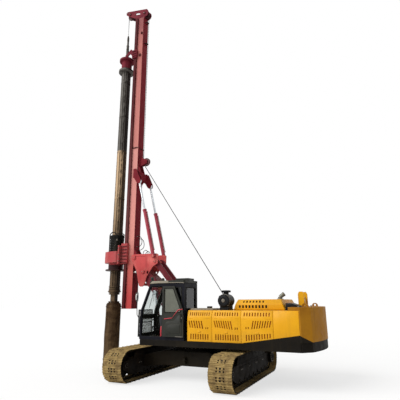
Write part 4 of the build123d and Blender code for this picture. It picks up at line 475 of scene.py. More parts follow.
@dataclass(frozen=True)
class Weave:
    """Woven seat cloth with a fine rib.

    Attributes:
        thread: The threads' hex code.
        gap: The hex code of what shows between them.
        dust: The dust's hex code.
        ribs: Scale of the rib's wave.
        relief: Strength of its bump.
        depth: Depth of its bump, in metres.
    """

    thread: str = "#3a3b40"
    gap: str = "#17171a"
    dust: str = "#6b6353"
    ribs: float = 17.0
    relief: float = 0.4
    depth: float = 0.002

    def make(self, name: str) -> bpy.types.Material:
        """Returns the finished material under that name."""
        graph = Graph(name)
        waves = []
        for direction in ("X", "Z"):
            wave = graph.node("ShaderNodeTexWave", wave_type="BANDS", bands_direction=direction)
            graph.tree.links.new(graph.coords.outputs["Object"], wave.inputs["Vector"])
            wave.inputs["Scale"].default_value = self.ribs
            wave.inputs["Distortion"].default_value = 0.6
            waves.append(wave.outputs["Fac"])
        cloth = graph.reckon("MULTIPLY", *waves)
        tone = graph.mix(graph.span(cloth, 0.1, 0.7), linear(self.gap), linear(self.thread))
        tone = graph.mix(graph.span(graph.noise(6.0), 0.5, 0.8, 0.0, 0.4), tone, linear(self.dust))
        graph.feed(graph.shader.inputs["Base Color"], tone)
        graph.feed(graph.shader.inputs["Roughness"], graph.span(cloth, 0.0, 1.0, 0.95, 0.75))
        graph.shader.inputs["Sheen Weight"].default_value = 0.25
        graph.bump(cloth, self.relief, self.depth)
        return graph.material


YELLOW_GRIME = "#7a5a1e"
RED_GRIME = "#4a1a1a"
# The mast's pale flank tints, which are painted light on its lit sides, lie ahead of this place, just behind its back
# face.
MAST_BACK = 2.665

COATS: dict[Finish, Coat | Pane | Weave] = {
    Finish.YELLOW: Coat("#dfa10c", "#d6970c", YELLOW_GRIME, (0.35, 0.55), runs=0.2, dust=0.25, patch=0.8, gloss=0.2,
                        bands=(Band("#b98a2c", 1.1, 1.45, 0.15, 0.3),)),
    Finish.WEIGHT: Coat("#a8731c", "#925f19", "#5f3f16", (0.45, 0.65), runs=0.4, dust=0.25, gloss=0.06,
                        skirt=((-3.76, 1.5), (-4.05, 1.32))),
    Finish.RED: Coat("#c24c4b", "#d8746b", RED_GRIME, (0.4, 0.6), runs=0.3, patch=2.4, gloss=0.15,
                     bands=(Band("#9c3433", 2.8, 3.68, 0.2, 0.6, ragged=0.2),)),
    # Near-black below the gearbox: partly black paint, partly painted shade beneath the head.
    Finish.HEAD: Coat("#b04547", "#a35a55", "#301414", (0.4, 0.6), runs=0.5, patch=2.4, gloss=0.15, bands=(
        Band("#17120f", 3.0, 3.84, 0.02, 0.95, ragged=0.03),)),
    Finish.CROWN: Coat("#6c2430", "#7d2f38", "#200d0d", (0.5, 0.7), runs=0.45, patch=2.6, gloss=0.04),
    # Mast: the pale bands on the flanks are painted light, and the dark red base on the back face stands as its painted
    # shade; the bands change in tone with height.
    Finish.MAST: Coat("#7c2029", "#6b1c25", RED_GRIME, (0.45, 0.65), runs=0.2, gloss=0.05, bands=(
        Band("#df968b", 4.0, 20.0, 0.7, 0.9, True, 0.4, MAST_BACK),
        Band("#c4625a", 1.0, 4.0, 0.5, 0.85, True, 0.4, MAST_BACK),
        Band("#b53a3d", 1.0, 2.9, 0.4, 0.7, True, 0.3, MAST_BACK),
        Band("#cf8d85", 6.2, 20.0, 0.8, 0.8, True, 0.5, MAST_BACK),
        Band("#c47b73", 8.74, 20.0, 0.05, 0.85, True, 0.05, MAST_BACK),
        Band("#b36b65", 10.8, 20.0, 1.4, 0.75, True, 0.6, MAST_BACK),
        Band("#8c4f50", 14.4, 20.0, 0.6, 0.9, True, 0.3, MAST_BACK))),
    Finish.MAROON: Coat("#4c1a1d", "#561d21", "#1d0c0b", (0.5, 0.7), runs=0.4, gloss=0.05,
                        bands=(Band("#7c5250", 3.6, 8.7, 1.2, 0.35, ragged=0.8),)),
    Finish.LINK: Coat("#651f28", "#752d34", "#1f0d0d", (0.4, 0.65), runs=0.4, patch=2.0, gloss=0.12),
    Finish.BARREL: Coat("#9c3342", "#a34a54", "#3a161c", (0.3, 0.5), runs=0.3, patch=2.2, gloss=0.25),
    Finish.BLACK: Coat("#14110d", "#1c1811", "#2e2618", (0.5, 0.75), runs=0.3, dust=0.2, dust_colour="#4d4230",
                       bands=(Band("#33291a", -1.0, 0.85, 0.2, 0.2),), gloss=0.08),
    Finish.CAB: Coat("#23241f", "#2b2c25", "#3e3b2d", (0.35, 0.6), runs=0.2, dust=0.35, gloss=0.2),
    # Rear wall and the wall behind the open door: a darker blue-black copy of the cab's olive-black, painted shade.
    Finish.CAB_REAR: Coat("#0d0d15", "#13131b", "#22212a", (0.4, 0.6), runs=0.2, dust=0.15, gloss=0.1),
    Finish.ROOF: Coat("#8a8271", "#979080", "#4e4738", (0.5, 0.7), runs=0.2, dust=0.4),
    Finish.MUD: Coat("#a08858", "#7c6744", "#2f220f", (0.75, 0.95), patch=6.0, patch_span=(0.42, 0.6), runs=0.4,
                     dust=0.45, dust_colour="#bfa673", edge=0.5, bare="#4f3b20", grain=28.0, bump=0.6, gloss=0.1,
                     ends="#1d160e"),
    Finish.TRACK: Coat("#120e0a", "#1b150e", "#2f2416", (0.6, 0.85), patch=4.0, runs=0.4, dust=0.25,
                       dust_colour="#5c4c34", edge=0.25, bare="#51442f", grain=40.0, bump=0.3, gloss=0.08),
    Finish.KELLY: Coat("#6a6660", "#57534d", "#1b1714", (0.5, 0.75), patch=3.4, runs=0.4, edge=0.35, bare="#6c665c",
                       grain=40.0, bump=0.3, gloss=0.12, bands=(
                           Band("#cbac88", 2.0, 8.74, 0.04, 0.9, ragged=0.05),
                           Band("#7e6950", -1.0, 6.4, 1.0, 0.85, ragged=0.9),
                           Band("#4b3a28", -1.0, 3.9, 0.5, 0.75, ragged=0.5),
                           # Near-black on the side turned from the sun: painted shade.
                           Band("#1f1715", -1.0, 20.0, 0.1, 0.85, ragged=0.0, heading=(-0.9, -0.44)))),
    Finish.TOOL: Coat("#3c2b1c", "#594530", "#1a120b", (0.75, 0.95), patch=4.5, patch_span=(0.42, 0.62), runs=0.6,
                      edge=0.45, bare="#6c6459", grain=34.0, bump=0.45, gloss=0.08,
                      bands=(Band("#6f5b3e", -0.5, 0.9, 0.4, 0.35),)),
    Finish.CHROME: Coat("#c9cdd0", "#b9bec2", "#7c7a74", (0.06, 0.16), 1.0, runs=0.1, dust=0.0, edge=0.0, bump=0.01,
                        gloss=0.5),
    Finish.RUBBER: Coat("#151412", "#1c1b18", "#332e24", (0.65, 0.9), runs=0.3, dust=0.35, edge=0.1, bump=0.2,
                        gloss=0.15),
    Finish.CANISTER: Coat("#0b0c0f", "#111316", "#24221d", (0.35, 0.55), runs=0.15, dust=0.2, edge=0.1, gloss=0.15),
    # Floors of the louvre pockets: a darker orange-brown, painted shade of the shaded louvres.
    Finish.SCREEN: Coat("#a2561b", "#7f4216", "#3a1d0c", (0.65, 0.85), patch=6.0, runs=0.3, edge=0.0, bump=0.3,
                        gloss=0.15),
    Finish.GLASS: Pane(dark="#2c2d36"),
    Finish.DOOR_GLASS: Pane("#8f9182", "#77766a", 0.6, 0.6),
    Finish.FABRIC: Weave(),
    Finish.PLASTIC: Coat("#202224", "#2a2c2e", "#44423a", (0.5, 0.7), runs=0.1, dust=0.4, edge=0.08, grain=300.0,
                         gloss=0.25),
    Finish.PALE: Coat("#e6e4de", "#d8d5cc", "#8f8877", (0.35, 0.5), runs=0.12, dust=0.2, edge=0.1),
    Finish.PIPE: Coat("#6e746c", "#7f6a52", "#3c382f", (0.35, 0.6), 0.5, patch=6.0, runs=0.35),
    Finish.STEEL: Coat("#77736b", "#5d564b", "#33291f", (0.35, 0.6), 0.8, patch=9.0, runs=0.3),
    Finish.ROPE: Coat("#26282b", "#1c1d1f", "#141210", (0.5, 0.7), 0.2, patch=8.0, runs=0.3, dust=0.1, edge=0.0),
    Finish.SHEAVE: Coat("#4a1a1c", "#35201d", "#181210", (0.4, 0.65), 0.2, patch=7.0, runs=0.4, edge=0.7,
                        bare="#8a8680", gloss=0.25),
    Finish.TRIM_RED: Coat("#b5303a", "#a5262f", RED_GRIME, (0.35, 0.5), runs=0.1, edge=0.1),
    Finish.LENS: Coat("#cfd6d8", "#bfc7c9", "#8f9190", (0.05, 0.15), 0.3, runs=0.05, dust=0.1, edge=0.0, bump=0.02,
                      gloss=0.5),
    Finish.ENGINE: Coat("#4b4d4d", "#3d3f3f", "#231f1a", (0.5, 0.75), 0.4, patch=6.0, runs=0.4),
}

NODE_FINISHES: dict[Finish, tuple[str, ...]] = {
    Finish.YELLOW: ("bay_covers", "mast_rest", "fuel_tank", "hydraulic_tank", "left_panels", "right_panels",
                    "engine_hood"),
    Finish.WEIGHT: ("counterweight",),
    Finish.RED: ("mast_cradle",),
    Finish.HEAD: ("rotary_head",),
    Finish.CROWN: ("crown", "kelly_guide"),
    Finish.MAST: ("mast_lower", "mast_upper"),
    Finish.MAROON: ("mast_rails", "crowd_barrel"),
    Finish.LINK: ("boom", "boom_links"),
    Finish.BARREL: ("luff_barrels", "tilt_barrels"),
    Finish.BLACK: ("car_body", "main_frame", "boom_foot", "bay_frame", "counterweight_base", "winch_frame",
                   "head_motors"),
    Finish.CAB: ("cab_floor", "cab_right_wall", "cab_front", "cab_guard", "cab_door", "cab_roof"),
    Finish.CAB_REAR: ("cab_rear", "cab_left_wall"),
    Finish.MUD: ("track_loop_front", "track_loop_rear"),
    Finish.TRACK: ("track_frames", "track_rollers", "track_wheels", "winch_drum"),
    Finish.KELLY: ("kelly_bar", "kelly_core", "rope_swivel"),
    Finish.TOOL: ("drill_tool",),
    Finish.CHROME: ("luff_rods", "tilt_rods", "crowd_rod"),
    Finish.RUBBER: ("head_damper",),
    Finish.CANISTER: ("air_cleaner",),
    Finish.GLASS: ("cab_glass",),
    Finish.DOOR_GLASS: ("cab_door_glass",),
    Finish.FABRIC: ("cab_seat",),
    Finish.PLASTIC: ("cab_consoles", "cab_mirror"),
    Finish.PIPE: ("exhaust",),
    Finish.SHEAVE: ("crown_sheave_front", "crown_sheave_rear", "back_sheave"),
    Finish.ENGINE: ("engine_block",),
}


class Palette:
    """The materials of every finish, each made once."""

    def __init__(self) -> None:
        """Makes every material."""
        self.materials = {finish: coat.make(finish.value) for finish, coat in COATS.items()}

    def paint_nodes(self, nodes: dict[str, bpy.types.Object]) -> None:
        """Gives every node of the solid model its finish.

        Args:
            nodes: The solid model's objects by node name.
        """
        for finish, names in NODE_FINISHES.items():
            for name in names:
                nodes[name].data.materials.clear()
                nodes[name].data.materials.append(self.materials[finish])
                LOG.info("%s finished in %s", name, finish.value)


class Form:
    """A mesh in the making; every solid is added at its place in the machine's frame."""

    def __init__(self) -> None:
        """Starts an empty mesh."""
        self.mesh = bmesh.new()

    def take(self, part: bmesh.types.BMesh, finish: int | None = 0, place: Matrix | None = None) -> None:
        """Adds a finished solid to the mesh and frees it.

        Args:
            part: The solid.
            finish: Number of its finish on the piece, or None to keep its own numbers.
            place: Where it goes.
        """
        bmesh.ops.recalc_face_normals(part, faces=part.faces)
        if finish is not None:
            for face in part.faces:
                face.material_index = finish
        scratch = bpy.data.meshes.new("scratch")
        part.to_mesh(scratch)
        part.free()
        self.stamp(scratch, [place or Matrix()])
        bpy.data.meshes.remove(scratch)

    def stamp(self, scratch: bpy.types.Mesh, places: Sequence[Matrix]) -> None:
        """Adds a copy of a mesh at every place."""
        for place in places:
            start = len(self.mesh.verts)
            self.mesh.from_mesh(scratch)
            self.mesh.verts.ensure_lookup_table()
            bmesh.ops.transform(self.mesh, matrix=place, verts=self.mesh.verts[start:])

    def repeat(self, other: "Form", places: Sequence[Matrix]) -> None:
        """Adds a copy of another form at every place, and frees it."""
        scratch = bpy.data.meshes.new("scratch")
        other.mesh.to_mesh(scratch)
        other.mesh.free()
        self.stamp(scratch, places)
        bpy.data.meshes.remove(scratch)

    @staticmethod
    def soften(part: bmesh.types.BMesh, radius: float, segments: int = 2) -> None:
        """Bevels the sharp edges of a solid."""
        if radius <= 0:
            return
        edges = [edge for edge in part.edges if edge.calc_face_angle(0.0) > BEVEL_ANGLE]
        bmesh.ops.bevel(part, geom=edges, offset=radius, offset_type="OFFSET", segments=segments, profile=0.5,
                        affect="EDGES", material=-1, clamp_overlap=True)

    def box(self, low: Point, high: Point, bevel: float = 0.0, finish: int = 0) -> None:
        """Adds a box between two corners."""
        part = bmesh.new()
        middle = (Vector(low) + Vector(high)) / 2
        size = [abs(b - a) for a, b in zip(low, high)]
        bmesh.ops.create_cube(part, size=1.0, matrix=Matrix.Translation(middle) @ Matrix.Diagonal((*size, 1.0)))
        self.soften(part, bevel)
        self.take(part, finish)

    def bar(self, start: Point, end: Point, radius: float, tip: float | None = None, sides: int = 20,
            bevel: float = 0.0, finish: int = 0) -> None:
        """Adds a round bar or a cone between two points.

        Args:
            start: Its first end.
            end: Its other end.
            radius: Its radius at the start.
            tip: Its radius at the end, when that differs.
            sides: Flat sides round it.
            bevel: Rounding of its rims.
            finish: Number of its finish.
        """
        run = Vector(end) - Vector(start)
        part = bmesh.new()
        bmesh.ops.create_cone(part, cap_ends=True, segments=sides, radius1=radius,
                              radius2=radius if tip is None else tip, depth=run.length,
                              matrix=Matrix.Translation((Vector(start) + Vector(end)) / 2) @ turned(run))
        if bevel:
            rims = [edge for edge in part.edges if edge.calc_face_angle(0.0) > RIM_ANGLE]
            bmesh.ops.bevel(part, geom=rims, offset=bevel, offset_type="OFFSET", segments=2, profile=0.5,
                            affect="EDGES", material=-1)
        self.take(part, finish)

    @staticmethod
    def carried(outline: Sequence[Flat], axis: Axis, low: float, high: float) -> bmesh.types.BMesh:
        """Returns a new solid: an outline carried along an axis from low to high."""
        part = bmesh.new()
        face = part.faces.new([part.verts.new(axis.point(first, second, low)) for first, second in outline])
        made = bmesh.ops.extrude_face_region(part, geom=[face])
        moved = [item for item in made["geom"] if isinstance(item, bmesh.types.BMVert)]
        bmesh.ops.translate(part, vec=axis.point(0, 0, high - low), verts=moved)
        bmesh.ops.recalc_face_normals(part, faces=part.faces)
        return part

    @staticmethod
    def trim(part: bmesh.types.BMesh, spot: Point, normal: Vector) -> None:
        """Cuts off what lies beyond a plane, and closes the cut."""
        everything = [*part.verts, *part.edges, *part.faces]
        cut = bmesh.ops.bisect_plane(part, geom=everything, dist=CUT_SLACK, clear_outer=True, plane_co=spot,
                                     plane_no=normal.normalized())
        rim = [item for item in cut["geom_cut"] if isinstance(item, bmesh.types.BMEdge)]
        bmesh.ops.edgeloop_fill(part, edges=rim)
        bmesh.ops.recalc_face_normals(part, faces=part.faces)

    def prism(self, outline: Sequence[Flat], axis: Axis, low: float, high: float, bevel: float = 0.0,
              finish: int = 0) -> None:
        """Adds an outline carried along an axis from low to high."""
        part = self.carried(outline, axis, low, high)
        self.soften(part, bevel)
        self.take(part, finish)

    def lathe(self, profile: Sequence[Flat], base: Point, axis: Axis | Vector = Axis.Z, sides: int = 32,
              closed: bool = False, finish: int = 0) -> None:
        """Adds a turned solid.

        Args:
            profile: Rows of radius and height along the axis.
            base: Where height 0 lies on the axis.
            axis: The axis, by name or as a direction.
            sides: Steps round it.
            closed: Whether the profile is a closed loop, as a ring's is.
            finish: Number of its finish.
        """
        part = bmesh.new()
        verts = [part.verts.new((radius, 0, height)) for radius, height in profile]
        pairs = list(zip(verts, verts[1:])) + ([(verts[-1], verts[0])] if closed else [])
        edges = [part.edges.new(pair) for pair in pairs]
        bmesh.ops.spin(part, geom=verts + edges, cent=(0, 0, 0), axis=(0, 0, 1), dvec=(0, 0, 0), angle=FULL_TURN,
                       steps=sides, use_merge=True, use_duplicate=False)
        bmesh.ops.remove_doubles(part, verts=part.verts, dist=1e-5)
        turn = axis.turn() if isinstance(axis, Axis) else turned(axis)
        self.take(part, finish, Matrix.Translation(base) @ turn)

    def ring(self, base: Point, axis: Axis, radius: float, thick: float, sides: int = 40, finish: int = 0) -> None:
        """Adds a round ring of round section."""
        self.lathe(oval((radius, 0.0), thick, thick, 8), base, axis, sides, True, finish)

    def sweep(self, path: Sequence[Vector], radius: float, sides: int = 8, lobes: float = 0.0, lay: float = 0.0,
              finish: int = 0) -> None:
        """Adds a tube along a path.

        Args:
            path: The points that its middle follows.
            radius: Its radius.
            sides: Sides of its section.
            lobes: Depth of the grooves between strands, for a rope.
            lay: Length in which the strands go once round, for a rope.
            finish: Number of its finish.
        """
        part = bmesh.new()
        places = list(self._frames(path, lay))
        ring = bmesh.ops.create_circle(part, cap_ends=True, radius=radius, segments=sides)["verts"]
        for vert in ring[::2]:
            vert.co *= 1 - lobes / radius
        bmesh.ops.transform(part, matrix=places[0], verts=ring)
        edges = list(part.edges)
        for before, place in zip(places, places[1:]):
            made = bmesh.ops.extrude_edge_only(part, edges=edges)["geom"]
            verts = [item for item in made if isinstance(item, bmesh.types.BMVert)]
            edges = [item for item in made if isinstance(item, bmesh.types.BMEdge)]
            bmesh.ops.transform(part, matrix=place @ before.inverted(), verts=verts)
        bmesh.ops.edgeloop_fill(part, edges=edges)
        self.take(part, finish)

    @staticmethod
    def _frames(path: Sequence[Vector], lay: float) -> Iterator[Matrix]:
        """Yields a place at every point of a path, carried along without twist but for the lay."""
        up = Vector((0.0, 1.0, 0.0))
        run = 0.0
        for index, point in enumerate(path):
            before = path[max(index - 1, 0)]
            after = path[min(index + 1, len(path) - 1)]
            ahead = (after - before).normalized()
            side = up.cross(ahead)
            if side.length < 1e-4:
                side = Vector((1.0, 0.0, 0.0)).cross(ahead)
            side.normalize()
            up = ahead.cross(side).normalized()
            run += (point - before).length
            turn = Matrix((side, up, ahead)).transposed().to_4x4()
            twist = Matrix.Rotation(FULL_TURN * run / lay, 4, "Z") if lay else Matrix()
            yield Matrix.Translation(point) @ turn @ twist

    def bolts(self, spots: Sequence[Point], axis: Vector, size: float, finish: int = 0) -> None:
        """Adds a washer and a hexagon head at every spot, standing along an axis."""
        head = Form()
        head.lathe(((0.0, 0.0), (size * 0.78, 0.0), (size * 0.78, size * 0.16), (0.0, size * 0.16)), (0, 0, 0),
                   Axis.Z, 12, finish=finish)
        head.bar((0, 0, size * 0.14), (0, 0, size * 0.62), size * 0.56, size * 0.5, 6, finish=finish)
        self.repeat(head, [Matrix.Translation(spot) @ turned(axis) for spot in spots])

    def piece(self, name: str, body: str, slot: str, palette: Palette, *finishes: Finish) -> bpy.types.Object:
        """Turns the form into a piece that rides on a body.

        Args:
            name: The piece's name.
            body: The body that carries it.
            slot: Not used.
            palette: The materials.
            finishes: The finishes, in the order of their numbers.

        Returns:
            The new object.
        """
        for face in self.mesh.faces:
            face.smooth = True
        for edge in self.mesh.edges:
            edge.smooth = edge.calc_face_angle(math.pi) < SHARP_ANGLE
        data = bpy.data.meshes.new(name)
        self.mesh.to_mesh(data)
        self.mesh.free()
        for finish in finishes:
            data.materials.append(palette.materials[finish])
        made = bpy.data.objects.new(name, data)
        bpy.context.scene.collection.objects.link(made)
        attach(made, body)
        LOG.info("%s rides on %s with %d faces", name, body, len(data.polygons))
        return made


def smooth_path(points: Sequence[Point], resolution: int = 12) -> list[Vector]:
    """Returns the points of a smooth curve led by a few control points.

    Args:
        points: The control points.
        resolution: Points of the curve for each of them.

    Returns:
        The curve's points in order.
    """
    curve = nurbs_curve("path", points, resolution)
    holder = bpy.data.objects.new("path", curve)
    mesh = bpy.data.meshes.new_from_object(holder)
    path = [vert.co.copy() for vert in mesh.vertices]
    bpy.data.objects.remove(holder)
    bpy.data.curves.remove(curve)
    bpy.data.meshes.remove(mesh)
    return path


def nurbs_curve(name: str, points: Sequence[Point], resolution: int) -> bpy.types.Curve:
    """Returns a curve of one open spline led by control points."""
    curve = bpy.data.curves.new(name, "CURVE")
    curve.dimensions = "3D"
    curve.resolution_u = resolution
    spline = curve.splines.new("NURBS")
    spline.points.add(len(points) - 1)
    for control, point in zip(spline.points, points):
        control.co = (*point, 1.0)
    spline.order_u = 3
    spline.use_endpoint_u = True
    return curve


def circle_spots(centre: Point, axis: Axis, radius: float, count: int, start: float = 0.0) -> list[Point]:
    """Returns spots evenly round a circle.

    Args:
        centre: The circle's middle.
        axis: The axis that it lies square to.
        radius: Its radius.
        count: How many spots.
        start: Angle of the first, in radians.

    Returns:
        The spots.
    """
    spots = []
    for index in range(count):
        angle = start + FULL_TURN * index / count
        step = axis.point(radius * math.cos(angle), radius * math.sin(angle), 0.0)
        spots.append(tuple(Vector(centre) + step))
    return spots


@dataclass(frozen=True)
class SlotRow:
    """A row of slots in a panel, in X and Z.

    Attributes:
        x0: Where the row starts.
        x1: Where it ends.
        low: Height of the slots' feet at the start and the end.
        high: Height of their tops at the start and the end.
        count: How many slots.
        lean: How far the tops stand ahead of the feet, towards the row's end.
        share: Open share of the row.
    """

    x0: float
    x1: float
    low: Flat
    high: Flat
    count: int
    lean: float = 0.0
    share: float = 0.5

    def line(self, ends: Flat, x: float) -> float:
        """Returns the height of the foot or top line at a place."""
        return ends[0] + (ends[1] - ends[0]) * (x - self.x0) / (self.x1 - self.x0)

    def slots(self) -> Iterator[Quad]:
        """Yields every slot's corners: foot start, foot end, top end, top start."""
        pitch = (self.x1 - self.x0) / self.count
        for index in range(self.count):
            start = self.x0 + pitch * (index + (1 - self.share) / 2)
            end = start + pitch * self.share
            feet = [(x, self.line(self.low, x)) for x in (start, end)]
            tops = [(x + self.lean, self.line(self.high, x)) for x in (end, start)]
            yield (*feet, *tops)


class SlottedSheet:
    """A sheet-metal solid whose faces take rows of slots as pockets with dark floors, painted shade for the shaded
    space behind the slots.
    """

    ALIKE = 0.995
    BEYOND = 2.0

    def __init__(self, part: bmesh.types.BMesh, depth: float = 0.028, lip: float = 0.004) -> None:
        """Starts from a closed solid.

        Args:
            part: The solid.
            depth: Depth of the pockets.
            lip: Width of the pressed lip round every slot.
        """
        self.part = part
        self.depth = depth
        self.lip = lip

    def _cut(self, faces: Sequence[bmesh.types.BMFace], start: Flat, end: Flat) -> None:
        """Splits faces along a line in X and Z."""
        geometry = set(faces)
        for face in faces:
            geometry.update(face.edges)
            geometry.update(face.verts)
        normal = Vector((end[1] - start[1], 0.0, start[0] - end[0])).normalized()
        bmesh.ops.bisect_plane(self.part, geom=list(geometry), dist=CUT_SLACK, plane_co=(start[0], 0.0, start[1]),
                               plane_no=normal)

    def slot(self, row: SlotRow, facing: Vector, dark: int) -> None:
        """Cuts a row of slots into the faces that look one way.

        Args:
            row: The row.
            facing: The way that the faces look.
            dark: Number of the finish at the pockets' floors, which is painted shade.
        """
        self.part.normal_update()

        def targets(margin: float) -> list[bmesh.types.BMFace]:
            """Returns the faces that look that way between the row's two lines, or a margin past them."""
            found = []
            for face in self.part.faces:
                spot = face.calc_center_median()
                within = row.line(row.low, spot.x) - margin < spot.z < row.line(row.high, spot.x) + margin
                if face.normal.dot(facing) > self.ALIKE and within:
                    found.append(face)
            return found

        self._cut(targets(self.BEYOND), (row.x0, row.low[0]), (row.x1, row.low[1]))
        self._cut(targets(self.BEYOND), (row.x0, row.high[0]), (row.x1, row.high[1]))
        for quad in row.slots():
            self._cut(targets(0.0), quad[0], quad[3])
            self._cut(targets(0.0), quad[1], quad[2])
        for quad in row.slots():
            middle = [sum(corner[axis] for corner in quad) / 4 for axis in (0, 1)]
            width = abs(quad[1][0] - quad[0][0])
            for face in targets(0.0):
                spot = face.calc_center_median()
                if abs(spot.x - middle[0]) < width * 0.3 and abs(spot.z - middle[1]) < width * 0.5:
                    self._pocket(face, facing, dark)
                    break

    def _pocket(self, face: bmesh.types.BMFace, facing: Vector, dark: int) -> None:
        """Sinks one face into a pocket with a lip, its floor in the painted-shade finish."""
        bmesh.ops.inset_individual(self.part, faces=[face], thickness=self.lip, depth=0.0)
        floor = bmesh.ops.extrude_discrete_faces(self.part, faces=[face])["faces"][0]
        bmesh.ops.translate(self.part, vec=-facing * self.depth, verts=floor.verts)
        floor.material_index = dark


class Studio:
    """Camera, light and floor."""

    EYE: Point = (-5.855, 12.264, 2.387)
    YAW = math.radians(-64.887)
    PITCH = math.radians(15.368)
    ROLL = math.radians(-0.264)
    SENSOR = 36.0
    PHOTO_PIXELS = 400
    FOCAL_PIXELS = 371.9
    REACH = 400.0
    SUN_FROM: Point = (0.5, 0.62, 0.6)
    SUN_POWER = 2.75
    SKY_POWER = 0.42
    SUN_SPREAD = math.radians(45)
    GLOW_SHARE = 0.62
    GLOW = 1.1
    FLOOR_HALF = 150.0
    FLOOR_TONE = (0.88, 0.88, 0.87, 1.0)
    WHITE = (1.0, 1.0, 1.0, 1.0)

    def build(self) -> None:
        """Sets up camera, sun, world and floor."""
        scene = bpy.context.scene
        scene.view_settings.view_transform = "Standard"
        self._camera(scene)
        sun = bpy.data.lights.new("sun", "SUN")
        sun.energy = self.SUN_POWER
        sun.angle = self.SUN_SPREAD
        lamp = bpy.data.objects.new("sun", sun)
        lamp.rotation_euler = Vector(self.SUN_FROM).to_track_quat("Z", "Y").to_euler()
        scene.collection.objects.link(lamp)
        self._world(scene)
        self._floor(scene)

    def _camera(self, scene: bpy.types.Scene) -> None:
        """Places the camera where the photograph was taken from."""
        data = bpy.data.cameras.new("camera")
        data.sensor_width = self.SENSOR
        data.lens = self.FOCAL_PIXELS / self.PHOTO_PIXELS * self.SENSOR
        data.clip_end = self.REACH
        camera = bpy.data.objects.new("camera", data)
        turn = (Matrix.Rotation(self.YAW - math.pi / 2, 4, "Z") @ Matrix.Rotation(math.pi / 2 + self.PITCH, 4, "X")
                @ Matrix.Rotation(self.ROLL, 4, "Z"))
        camera.matrix_world = Matrix.Translation(self.EYE) @ turn
        scene.collection.objects.link(camera)
        scene.camera = camera

    @staticmethod
    def _seen(tree: bpy.types.NodeTree) -> Socket:
        """Returns a socket that is 1 for what the camera sees, straight, mirrored or through glass."""
        path = tree.nodes.new("ShaderNodeLightPath")
        seen = path.outputs["Is Camera Ray"]
        for name in ("Is Glossy Ray", "Is Transmission Ray"):
            either = tree.nodes.new("ShaderNodeMath")
            either.operation = "MAXIMUM"
            tree.links.new(seen, either.inputs[0])
            tree.links.new(path.outputs[name], either.inputs[1])
            seen = either.outputs["Value"]
        return seen

    def _world(self, scene: bpy.types.Scene) -> None:
        """Lights the machine evenly, with a white background."""
        world = bpy.data.worlds.new("world")
        scene.world = world
        world.use_nodes = True
        tree = world.node_tree
        tree.nodes.clear()
        light = tree.nodes.new("ShaderNodeBackground")
        light.inputs["Strength"].default_value = self.SKY_POWER
        white = tree.nodes.new("ShaderNodeBackground")
        white.inputs["Strength"].default_value = 1.0
        for background in (light, white):
            background.inputs["Color"].default_value = self.WHITE
        mix = tree.nodes.new("ShaderNodeMixShader")
        output = tree.nodes.new("ShaderNodeOutputWorld")
        tree.links.new(self._seen(tree), mix.inputs["Fac"])
        tree.links.new(light.outputs["Background"], mix.inputs[1])
        tree.links.new(white.outputs["Background"], mix.inputs[2])
        tree.links.new(mix.outputs["Shader"], output.inputs["Surface"])

    def _floor(self, scene: bpy.types.Scene) -> None:
        """Lays a plain pale floor that keeps the machine's shadow."""
        part = bmesh.new()
        bmesh.ops.create_grid(part, x_segments=1, y_segments=1, size=self.FLOOR_HALF)
        data = bpy.data.meshes.new("floor")
        part.to_mesh(data)
        part.free()
        floor = bpy.data.objects.new("floor", data)
        scene.collection.objects.link(floor)
        material = bpy.data.materials.new("pale_floor")
        material.use_nodes = True
        tree = material.node_tree
        shader = tree.nodes["Principled BSDF"]
        shader.inputs["Base Color"].default_value = self.FLOOR_TONE
        shader.inputs["Roughness"].default_value = 0.9
        share = tree.nodes.new("ShaderNodeMath")
        share.operation = "MULTIPLY"
        share.inputs[1].default_value = self.GLOW_SHARE
        glow = tree.nodes.new("ShaderNodeEmission")
        glow.inputs["Strength"].default_value = self.GLOW
        mix = tree.nodes.new("ShaderNodeMixShader")
        tree.links.new(self._seen(tree), share.inputs[0])
        tree.links.new(share.outputs["Value"], mix.inputs["Fac"])
        tree.links.new(shader.outputs["BSDF"], mix.inputs[1])
        tree.links.new(glow.outputs["Emission"], mix.inputs[2])
        tree.links.new(mix.outputs["Shader"], tree.nodes["Material Output"].inputs["Surface"])
        data.materials.append(material)


